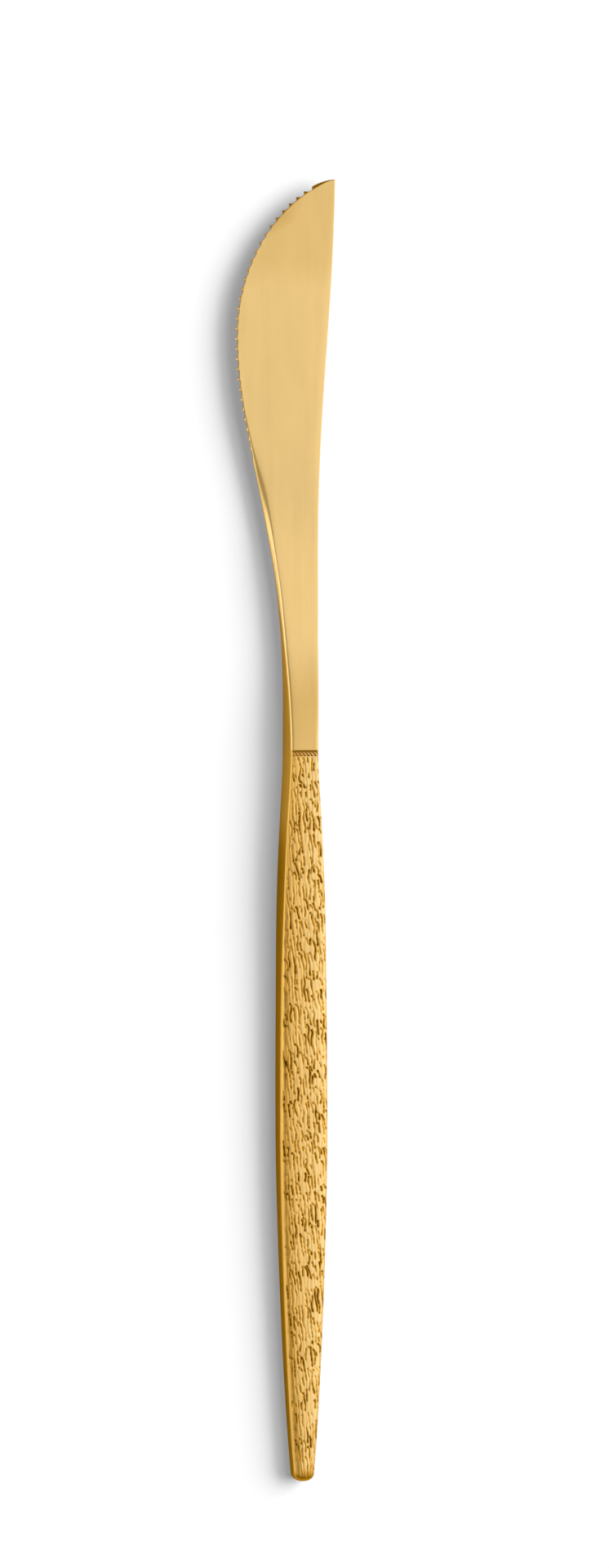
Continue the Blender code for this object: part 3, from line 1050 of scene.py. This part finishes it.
        closeness = np.zeros_like(across)
        cleft = np.zeros_like(across)
        for beside in (-1, 0, 1):
            line = between + beside
            along = at(below, line) - self.cap
            past_end = along - at(length, line)
            bend = at(hook, line) * (1.0 - ease(along / self.hook_length))
            apart = np.hypot(across - at(lines, line) + self.hook_width * bend,
                             np.maximum(np.maximum(-along, past_end), 0.0))
            dots = np.maximum(np.exp(-((along / self.dot_length) ** 2)),
                              self.end_dot * np.exp(-((past_end / self.dot_length) ** 2)))
            power = at(strength, line) * blend(self.trail, 1.0, dots)
            # Painted shade: darkest along each stroke and in its end dots, softer beside it.
            near = tent(apart / (1.0 + self.dot * dots), self.reach)
            near = np.maximum(near, self.shade * tent(apart, self.shade_reach))
            closeness = np.maximum(closeness, near * power)
            cleft = np.maximum(cleft, tent(apart, self.groove_reach) * power)

        left = across - at(lines, between - 1)
        right = at(lines, between) - across
        off_middle = np.abs(left - right) / np.maximum(left + right, self.cap)
        depth = self.crown * np.minimum(off_middle, 1.0) ** self.crown_power
        depth += self.mound * np.abs(1.0 - 2.0 * np.clip(at(below / room, between), 0.0, 1.0))
        depth += self.groove_depth * np.minimum(cleft, 1.0)
        # Painted shade in fine random pits over the face's left side.
        lefthand = np.clip(-across / across.max() - self.stipple_from, 0.0, self.stipple_span)
        lefthand = lefthand / self.stipple_span
        stipple_pits = chance.uniform(size=across.shape) * lefthand
        depth += self.stipple * stipple_pits
        return depth, np.clip(np.maximum(closeness, self.stipple_shade * stipple_pits), 0.0, 1.0)


@dataclass
class HandleShell:
    """Half of the hollow handle: smooth side walls, a rim and a bark-textured face."""

    lay: Lay
    finish: bpy.types.Material
    side: Side
    relief: BarkRelief

    length: float = 115.1 * MM
    neck_width: float = 4.56 * MM
    neck_thickness: float = 4.8 * MM
    neck_round: float = 0.42 * MM
    width: float = 7.85 * MM
    widest_from_shoulder: float = 60.5 * MM
    neck_pull: float = 8.2 * MM
    widest_pull_to_neck: float = 46.0 * MM
    widest_pull_to_butt: float = 10.8 * MM
    butt_pull: float = 14.6 * MM
    butt_lean: float = math.radians(5.7)
    butt_width: float = 3.1 * MM
    butt_thickness: float = 3.4 * MM
    butt_round: float = 1.1 * MM
    butt_flat_share: float = 0.4
    edge_round: float = 0.42 * MM
    edge_soften_length: float = 14.0 * MM
    body_round: float = 1.0 * MM
    body_round_span: Point = (20.0 * MM, 42.0 * MM)
    greatest_round: float = 0.6
    wall: float = 0.6 * MM
    greatest_hollow: float = 0.9
    mouth: float = 0.3 * MM
    seam_half: float = 0.08 * MM

    bead_first: float = 0.34 * MM
    bead_last: float = 0.88 * MM
    bead_pitch: float = 0.6 * MM
    bead_slant: float = 0.9
    bead_cut: float = 0.16 * MM
    bead_fullness: float = 2.4
    bead_end_dip: float = 0.3
    bead_end_power: int = 6
    bead_end_fade: float = 0.35
    # Painted shade in the gaps between the beads.
    bead_gap_shade: float = 0.9
    bead_margin: float = 0.05 * MM
    bead_fade: float = 0.4 * MM
    right_turn: Point = (math.radians(8.0), math.radians(30.0))
    left_turn: Point = (math.radians(28.0), math.radians(58.0))
    ridge: float = 0.2 * MM
    ridge_fade: float = 0.15 * MM
    # Painted shade in a band just inside the left edge.
    left_edge_shade: float = 0.44
    left_edge_shade_turn: Point = (math.radians(62.0), math.radians(40.0))
    left_edge_shade_width: float = 0.5 * MM
    left_shade: float = 0.3
    # Painted shade on the side walls, growing from the mouth and deeper on the lower shell.
    wall_shades: Point = (0.55, 0.66)
    wall_shade_span: Point = (2.0 * MM, 20.0 * MM)
    wall_sharpness: float = 16.0
    butt_fade: float = 1.4 * MM
    # Painted shade on the rounded butt.
    butt_shade: float = 0.7
    butt_shade_length: float = 3.2 * MM
    face_fall: float = 0.08 * MM
    face_fall_width: float = 1.6 * MM

    mouth_rows: int = 34
    mouth_span: float = 1.7 * MM
    body_rows: int = 930
    butt_rows: int = 14
    face_steps: int = 68
    corner_steps: int = 10
    smooth_angle: float = math.radians(50.0)

    def outline(self) -> PlanCurve:
        """The right side of the handle.

        Returns:
            The line from the shoulder to the butt.
        """
        shoulder = np.array((self.neck_width / 2, 0.0))
        widest = np.array((self.width / 2, -self.widest_from_shoulder))
        butt = np.array((self.butt_width / 2, -self.length))
        along_butt = np.array((-math.sin(self.butt_lean), -math.cos(self.butt_lean)))
        down = np.array((0.0, -1.0))
        return PlanCurve((
            (shoulder, shoulder + down * self.neck_pull, widest - down * self.widest_pull_to_neck, widest),
            (widest, widest + down * self.widest_pull_to_butt, butt - along_butt * self.butt_pull, butt),
        ))

    def stations(self) -> np.ndarray:
        """The places along the handle at which the shell gets a ring.

        Returns:
            Distances from the shoulder.
        """
        turn_start = self.length - self.butt_round
        near = np.linspace(self.mouth, self.mouth_span, self.mouth_rows + 1)[:-1]
        body = np.linspace(self.mouth_span, turn_start, self.body_rows + 1)[:-1]
        turn = np.linspace(0.0, math.pi / 2, self.butt_rows + 1)
        return np.concatenate([near, body, turn_start + self.butt_round * np.sin(turn)])

    def half_sizes(self, outline: PlanCurve, from_shoulder: np.ndarray,
                   inset: float) -> tuple[np.ndarray, np.ndarray, np.ndarray]:
        """Half the width, half the thickness and the edge radius of the handle.

        Args:
            outline: The handle's side.
            from_shoulder: Distances from the shoulder.
            inset: How far inside the surface they are taken.

        Returns:
            The three sizes at each distance.
        """
        past = np.maximum((from_shoulder - self.length + self.butt_round) / self.butt_round, 0.0)
        closing = np.sqrt(1.0 - (1.0 - self.butt_flat_share**2) * np.minimum(past, 1.0) ** 2)
        thickness = blend(self.neck_thickness, self.butt_thickness, from_shoulder / self.length)
        half_width = outline.offset_at(from_shoulder) * closing - inset
        half_thickness = thickness / 2 * closing - inset
        radius = blend(self.neck_round, self.edge_round, ease(from_shoulder / self.edge_soften_length))
        radius = blend(radius, self.body_round, rise(from_shoulder, self.body_round_span))
        radius = np.maximum(radius - inset, self.neck_round / 2)
        greatest = self.greatest_round * np.minimum(half_width, half_thickness)
        return half_width, half_thickness, np.minimum(radius, greatest)

    def wall_shade(self, from_shoulder: np.ndarray) -> np.ndarray:
        """How far the walls have taken their painted shade, from 0 at the mouth to 1."""
        return rise(from_shoulder, self.wall_shade_span)

    def seam_shade(self, from_shoulder: np.ndarray) -> np.ndarray:
        """The painted shade where the two shells meet, darker at the butt."""
        middle = sum(self.wall_shades) / 2
        return np.maximum(middle * self.wall_shade(from_shoulder), self.end_shade(from_shoulder))

    def end_shade(self, from_shoulder: np.ndarray) -> np.ndarray:
        """The painted shade of the rounded butt, 0 away from it."""
        return self.butt_shade * ease((from_shoulder - self.length) / self.butt_shade_length + 1.0)

    def beads(self, across: np.ndarray, from_shoulder: np.ndarray) -> np.ndarray:
        """A row of slanted rope-like beads at the mouth.

        Args:
            across: X of the points, of shape (rows, columns).
            from_shoulder: Distance of each row from the shoulder.

        Returns:
            How far each point lies below the beads' tops, as a share of their height.
        """
        middle = (self.bead_first + self.bead_last) / 2
        half = (self.bead_last - self.bead_first) / 2
        away = np.abs(from_shoulder - middle)[:, None] / half
        slant = (from_shoulder - middle)[:, None] * self.bead_slant
        phase = (across - slant) / self.bead_pitch
        beside = np.abs(phase - np.rint(phase)) * 2.0
        at_end = self.bead_end_dip * away**self.bead_end_power
        dip = np.clip(beside**self.bead_fullness + at_end, 0.0, 1.0)
        return dip * (1.0 - ease((away - 1.0) / self.bead_end_fade))

    def rings(self) -> tuple[np.ndarray, dict[str, np.ndarray]]:
        """The shell's rings from the mouth to the butt.

        Returns:
            The rings round the shoulder, each over the outside and back along the inside, and
            the masks of their points.
        """
        outline = self.outline()
        distance = self.stations()
        half_width, half_thickness, radius = self.half_sizes(outline, distance, 0.0)
        floor = np.full_like(distance, self.seam_half)

        across, height, wall, hollow = [], [], [], []

        def lay_column(x: np.ndarray, z: np.ndarray, wall_share: float, painted_shade: np.ndarray) -> None:
            """Keep one line of points that runs along the shell.

            Args:
                x: X of the points.
                z: Their height over the middle plane.
                wall_share: How much they belong to a wall.
                painted_shade: How much painted shade they take.
            """
            across.append(x)
            height.append(z)
            wall.append(np.full_like(x, wall_share))
            hollow.append(painted_shade)

        side_top = half_thickness - radius
        lower = self.face_fall * ease((distance - self.mouth) / self.edge_soften_length)
        turns = np.linspace(0.0, math.pi / 2, self.corner_steps + 1)
        corner_x = half_width[:, None] - radius[:, None] * (1.0 - np.cos(turns))
        corner_z = side_top[:, None] + (radius - lower)[:, None] * np.sin(turns)
        face_half = half_width - radius
        face_x = face_half[:, None] * np.linspace(1.0, -1.0, self.face_steps + 1)[1:-1]
        to_rim = face_half[:, None] - np.abs(face_x)
        slope = lower[:, None] * np.clip(1.0 - to_rim / self.face_fall_width, 0.0, 1.0) ** 2
        x = np.concatenate([corner_x, face_x, -corner_x[:, ::-1]], axis=1)
        z = np.concatenate([corner_z, half_thickness[:, None] - slope, corner_z[:, ::-1]], axis=1)
        turn = np.concatenate([turns, np.full(self.face_steps - 1, math.pi / 2), turns[::-1]])

        cut, painted_shade = self.relief.carve(x, distance)
        past_beads = ease((distance - self.bead_last - self.bead_margin) / self.bead_fade)
        on_right = np.arange(len(turn)) < len(turn) / 2
        at_face = np.where(on_right, rise(turn, self.right_turn), rise(turn, self.left_turn))
        at_face = at_face * ease((half_width[:, None] + x - self.ridge) / self.ridge_fade)
        at_face *= ease((self.length - distance) / self.butt_fade)[:, None]
        beads = self.beads(x, distance)
        z = z - np.maximum(cut * past_beads[:, None], self.bead_cut * beads) * at_face
        # Painted shade in the strokes and in the gaps between the beads.
        painted_shade = np.maximum(painted_shade * past_beads[:, None], self.bead_gap_shade * beads) * at_face

        # Painted shade: the face darkens toward its left side and keeps the painted highlight toward its
        # right.
        leftness = np.clip(0.5 - 0.5 * x / np.maximum(half_width, self.seam_half)[:, None], 0.0, 1.0)
        painted_shade = np.maximum(painted_shade, self.left_shade * leftness)
        along = self.wall_shade(distance)
        # Painted shade in a band along the left edge, inside its rounding.
        on_corner = tent(turn - self.left_edge_shade_turn[0], self.left_edge_shade_turn[1])
        on_face = tent(x + face_half[:, None], self.left_edge_shade_width)
        darker = ease(np.where(x < -face_half[:, None], on_corner, on_face))
        darker = darker * along[:, None] * (x < 0.0) * at_face
        painted_shade = np.maximum(painted_shade, self.left_edge_shade * darker)
        wall_share = np.cos(turn) ** self.wall_sharpness
        # Painted shade on the side walls.
        edge_shade = self.wall_shades[0 if self.side is Side.UPPER else 1] * along
        painted_shade = np.maximum(painted_shade, edge_shade[:, None] * wall_share)
        painted_shade = np.maximum(painted_shade, self.end_shade(distance)[:, None])

        lay_column(half_width, floor, 1.0, self.seam_shade(distance))
        for index in range(x.shape[1]):
            lay_column(x[:, index], z[:, index], wall_share[index], painted_shade[:, index])
        lay_column(-half_width, floor, 1.0, self.seam_shade(distance))

        inner_end = self.length - self.wall
        inside = distance < inner_end
        inner_distance = np.minimum(distance, inner_end)
        inner_width, inner_thickness, _ = self.half_sizes(outline, inner_distance, self.wall)
        inner_width = np.minimum(inner_width, half_width * self.greatest_hollow)
        inner_top = np.where(inside, inner_thickness, floor)
        inner_tops = (floor, inner_top, inner_top, inner_top, floor)
        for share, top in zip((-1.0, -1.0, 0.0, 1.0, 1.0), inner_tops):
            lay_column(inner_width * share, top, 1.0, self.end_shade(distance))

        points = np.stack([np.stack(across, axis=1), np.repeat(-distance[:, None], len(across), axis=1),
                           np.stack(height, axis=1) * self.side.value], axis=2)
        return points, {"wall": np.stack(wall, axis=1), "hollow": np.stack(hollow, axis=1)}

    def build(self) -> bpy.types.Object:
        """Model the shell and dress it.

        Returns:
            The shell.
        """
        half = self.side.name.lower()
        rings, masks = self.rings()
        piece = wrapped_grid(f"handle_bark_{half}", self.lay.place(rings), self.smooth_angle, masks)
        piece.data.materials.append(self.finish)
        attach(piece, BODY)
        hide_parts(f"handle_shell_{half}")
        return piece


@dataclass
class NeckRing:
    """The solder between the shoulder and the handle: flush at the sides, sunk across both faces."""

    lay: Lay
    finish: bpy.types.Material

    width: float = 4.56 * MM
    thickness: float = 4.8 * MM
    edge_round: float = 0.42 * MM
    gap: float = 0.3 * MM
    bite: float = 0.02 * MM
    shy: float = 0.004 * MM
    recess: float = 0.2 * MM
    recess_first: float = 0.05 * MM
    recess_last: float = 0.27 * MM
    recess_margin: float = 0.06 * MM
    # Painted shade in the sunk band across the faces.
    dark: float = 0.84
    shades: tuple[float, ...] = (0.5, 0.7, 1.0, 1.0, 0.7, 0.5)
    right_sink_power: int = 2
    left_sink_power: int = 5
    side_power: int = 4
    left_face_power: float = 4.0
    bore_width: float = 3.24 * MM
    bore_thickness: float = 2.84 * MM
    corner_steps: int = 5
    smooth_angle: float = math.radians(40.0)

    def loop(self, sunk: float) -> tuple[np.ndarray, np.ndarray]:
        """One turn round the ring's outside.

        Args:
            sunk: How far the faces lie below the edges.

        Returns:
            X and Z of the points, and how much each belongs to a face.
        """
        half = self.width / 2 - self.shy
        top = self.thickness / 2 - self.shy
        turns = np.linspace(0.0, math.pi / 2, self.corner_steps + 1)
        corner_x = half - self.edge_round * (1.0 - np.cos(turns))
        corner_z = top - self.edge_round * (1.0 - np.sin(turns))
        face = half - self.edge_round - self.recess_margin
        x = np.concatenate([[half], corner_x, [face]])
        right, left = (
            np.concatenate([[0.0], corner_z - sunk * np.sin(turns) ** power, [top - sunk]])
            for power in (self.right_sink_power, self.left_sink_power)
        )
        upper = np.stack([np.concatenate([x, -x[::-1]]), np.concatenate([right, left[::-1]])], axis=1)
        lower = upper[-2:0:-1] * np.array((1.0, -1.0))
        side = np.concatenate([[1.0], np.cos(turns) ** self.side_power, [0.0]])
        side = np.concatenate([side, side[::-1]])
        return np.concatenate([upper, lower]), 1.0 - np.concatenate([side, side[-2:0:-1]])

    def build(self) -> bpy.types.Object:
        """Model the ring and dress it.

        Returns:
            The ring.
        """
        outer, face = self.loop(0.0)
        bore = outer * np.array((self.bore_width / self.width, self.bore_thickness / self.thickness))
        places = (-self.bite, self.recess_first, self.recess_first + self.bite,
                  self.recess_last - self.bite, self.recess_last, self.gap + self.bite)
        depths = (0.0, 0.0, self.recess, self.recess, 0.0, 0.0)
        loops = [self.loop(depth)[0] for depth in depths] + [bore, bore, outer]
        levels = places + (places[-1], places[0], places[0])
        rings = np.stack([np.stack([loop[:, 0], np.full(len(loop), -level), loop[:, 1]], axis=1)
                          for loop, level in zip(loops, levels)])
        # Painted shade in the sunk band, kept off the side walls.
        sunk = np.array(self.shades + (0.0, 0.0, 0.0))
        level_face = face ** np.where(outer[:, 0] < 0.0, self.left_face_power, 1.0)
        masks = {
            "wall": np.broadcast_to(1.0 - face, rings.shape[:2]).copy(),
            "hollow": self.dark * sunk[:, None] * level_face[None, :],
        }
        piece = wrapped_grid("neck_ring", self.lay.place(rings), self.smooth_angle, masks)
        piece.data.materials.append(self.finish)
        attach(piece, BODY)
        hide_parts("neck_solder")
        return piece


@dataclass
class SeamBand:
    """The solder between the two shells, flush with the handle's side walls and round its butt."""

    lay: Lay
    finish: bpy.types.Material
    shell: HandleShell

    depth: float = 0.5 * MM
    least_inner: float = 0.1 * MM
    rows: int = 180
    smooth_angle: float = math.radians(40.0)

    def build(self) -> bpy.types.Object:
        """Model the band and dress it.

        Returns:
            The band.
        """
        distance = np.concatenate([
            np.linspace(self.shell.mouth, self.shell.length - self.shell.butt_round, self.rows)[:-1],
            self.shell.stations()[-self.shell.butt_rows - 1:],
        ])
        half_width = self.shell.half_sizes(self.shell.outline(), distance, 0.0)[0]
        outer = np.stack([half_width, -distance], axis=1)
        inner = np.stack([np.maximum(half_width - self.depth, self.least_inner),
                          -np.minimum(distance, self.shell.length - self.depth)], axis=1)
        flip = np.array((-1.0, 1.0))
        outer = np.concatenate([outer, outer[::-1] * flip])
        inner = np.concatenate([inner, inner[::-1] * flip])
        half = np.full((len(outer), 1), self.shell.seam_half)
        rings = np.stack([np.hstack([outer, half]), np.hstack([outer, -half]),
                          np.hstack([inner, -half]), np.hstack([inner, half])], axis=1)
        # The band takes the walls' painted shade.
        tone = self.shell.seam_shade(-outer[:, 1])
        masks = {
            "wall": np.ones(rings.shape[:2]),
            "hollow": np.repeat(tone[:, None], rings.shape[1], axis=1),
        }
        piece = wrapped_grid("seam_band", self.lay.place(rings), self.smooth_angle, masks)
        piece.data.materials.append(self.finish)
        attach(piece, BODY)
        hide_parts("seam_solder")
        return piece


@dataclass(frozen=True)
class Lamp:
    """A rectangular lamp that hangs over the table and faces the knife."""

    name: str
    use: LampUse
    toward_right: float
    toward_tip: float
    size: Point
    radiance: float
    distance: float = 1.2

    def hang(self) -> bpy.types.Object:
        """Add the lamp to the scene.

        Returns:
            The lamp.
        """
        aim = Vector((math.tan(self.toward_right), math.tan(self.toward_tip), 1.0)).normalized()
        bpy.ops.object.select_all(action="DESELECT")
        bpy.ops.object.light_add(type="AREA", location=aim * self.distance)
        lamp = bpy.context.active_object
        lamp.name = self.name
        lamp.rotation_euler = aim.to_track_quat("Z", "Y").to_euler()
        lamp.data.shape = "RECTANGLE"
        lamp.data.size, lamp.data.size_y = self.size
        lamp.data.energy = self.radiance * math.pi * self.size[0] * self.size[1]
        lamp.visible_camera = False
        lamp.visible_glossy = self.use is LampUse.GLOSS
        lamp.visible_diffuse = self.use is LampUse.TABLE
        lamp.data.cycles.use_multiple_importance_sampling = self.use is LampUse.GLOSS
        return lamp


@dataclass
class Studio:
    """White table, soft light from above right and the camera of the picture."""

    view_tilt: float = math.radians(18.0)
    view_roll: float = 0.0045
    target: Point = (3.80 * MM, 7.25 * MM)
    frame_height: float = 247.6 * MM
    lens: float = 135.0
    sensor: float = 36.0

    floor_size: float = 12.0
    floor_colour: Colour = (0.95, 0.95, 0.95)
    floor_roughness: float = 0.9
    pale_room: Colour = (1.0, 1.0, 1.0)
    warm_room: Colour = (1.0, 0.92, 0.6)
    world_strength: float = 0.33
    lamps: tuple[Lamp, ...] = (
        Lamp("table_fill", LampUse.TABLE, math.radians(42.0), math.radians(20.0), (4.4, 6.7), 1.52, 4.0),
        Lamp("table_key", LampUse.TABLE, math.radians(51.5), math.radians(20.0), (4.4, 2.7), 3.36, 4.0),
        Lamp("overhead_softbox", LampUse.GLOSS, math.radians(36.0), math.radians(-10.0), (2.0, 1.6), 0.7),
        Lamp("left_softbox", LampUse.GLOSS, math.radians(-75.0), 0.0, (0.6, 2.0), 1.3),
        Lamp("right_strip", LampUse.GLOSS, math.radians(76.0), 0.0, (0.4, 2.0), 0.85),
    )

    def build_floor(self) -> bpy.types.Object:
        """Lay the white table.

        Returns:
            The table's top.
        """
        bpy.ops.object.select_all(action="DESELECT")
        bpy.ops.mesh.primitive_plane_add(size=self.floor_size, location=(0.0, 0.0, 0.0))
        floor = bpy.context.active_object
        floor.name = "table_top"
        material = bpy.data.materials.new("white_table")
        material.use_nodes = True
        shader = material.node_tree.nodes["Principled BSDF"]
        shader.inputs["Base Color"].default_value = (*self.floor_colour, 1.0)
        shader.inputs["Roughness"].default_value = self.floor_roughness
        shader.inputs["Specular IOR Level"].default_value = 0.0
        floor.data.materials.append(material)
        return floor

    def build_world(self) -> None:
        """Fill the room with an even white that looks warm in reflections."""
        world = bpy.data.worlds.new("white_room")
        world.use_nodes = True
        bench = NodeBench(world.node_tree)
        reflected = bench.add("ShaderNodeLightPath").outputs["Is Glossy Ray"]
        background = world.node_tree.nodes["Background"]
        background.inputs["Strength"].default_value = self.world_strength
        room = bench.tint("MIX", reflected, (*self.pale_room, 1.0), (*self.warm_room, 1.0))
        bench.feed(background.inputs["Color"], room)
        bpy.context.scene.world = world

    def build_camera(self) -> bpy.types.Object:
        """Set the camera above and to the left of the knife.

        Returns:
            The camera.
        """
        toward = Vector((-math.sin(self.view_tilt), 0.0, math.cos(self.view_tilt)))
        level_right = Vector((math.cos(self.view_tilt), 0.0, math.sin(self.view_tilt)))
        ahead = Vector((0.0, 1.0, 0.0))
        right = level_right * math.cos(self.view_roll) - ahead * math.sin(self.view_roll)
        up = ahead * math.cos(self.view_roll) + level_right * math.sin(self.view_roll)
        distance = self.frame_height * self.lens / self.sensor
        bpy.ops.object.camera_add()
        camera = bpy.context.active_object
        camera.name = "picture_camera"
        turn = Matrix((right, up, toward)).transposed().to_4x4()
        place = Vector((*self.target, 0.0)) + toward * distance
        camera.matrix_world = Matrix.Translation(place) @ turn
        camera.data.lens = self.lens
        camera.data.sensor_fit = "AUTO"
        camera.data.sensor_width = self.sensor
        bpy.context.scene.camera = camera
        return camera

    def build(self) -> None:
        """Set the stage."""
        bpy.context.scene.view_settings.view_transform = "Standard"
        self.build_floor()
        self.build_world()
        for lamp in self.lamps:
            lamp.hang()
        self.build_camera()


# Deeper gold painted on the side walls as their shade.
SHADED_WALL_GOLD: Colour = (0.85, 0.5, 0.098)
BLADE_GOLD = GoldFinish(
    name="satin_gold", painted_highlight=(0.90, 0.64, 0.29), face=(0.90, 0.64, 0.29), wall=SHADED_WALL_GOLD,
    mid_shade=(0.60, 0.34, 0.06), hollow=(0.40, 0.20, 0.02), grazing=(0.92, 0.65, 0.34),
    smooth=0.28, dull=0.36, contrast=0.06, brush_depth=0.002 * MM,
)
HANDLE_GOLD = GoldFinish(
    name="bark_gold", painted_highlight=(0.95, 0.67, 0.295), face=(0.84, 0.49, 0.12), wall=SHADED_WALL_GOLD,
    mid_shade=(0.47, 0.225, 0.012), hollow=(0.11, 0.04, 0.001), grazing=(0.92, 0.64, 0.30),
    smooth=0.34, dull=0.42, contrast=0.06, brush_depth=0.001 * MM,
)
BARK_SEEDS = {Side.UPPER: 11, Side.LOWER: 12}


def main() -> None:
    """Build the knife in order and report each piece."""
    logging.basicConfig(level=logging.INFO, format="%(message)s")
    lay = Lay.from_frame(
        HandleShell.neck_thickness, HandleShell.butt_thickness, HandleShell.length, NeckRing.gap / 2
    )
    effects = SharedEffects()
    blade_gold = BLADE_GOLD.make(effects)
    handle_gold = HANDLE_GOLD.make(effects)
    cement = CementFinish().make()

    pieces = [Blade(lay, blade_gold).build()]
    shells = [HandleShell(lay, handle_gold, side, BarkRelief(seed)) for side, seed in BARK_SEEDS.items()]
    pieces += [shell.build() for shell in shells]
    pieces.append(NeckRing(lay, handle_gold).build())
    pieces.append(SeamBand(lay, handle_gold, shells[0]).build())
    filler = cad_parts["tang_cement"]
    filler.data.materials.clear()
    filler.data.materials.append(cement)
    filler.visible_diffuse = False
    LOG.info("finished tang_cement")
    # The table's diffuse rays pass the metal by, so that no gold light tints the shadow.
    for piece in pieces:
        piece.visible_diffuse = False
        LOG.info("built %s: %d faces", piece.name, len(piece.data.polygons))
    Studio().build()


if __name__ == "__main__":
    main()
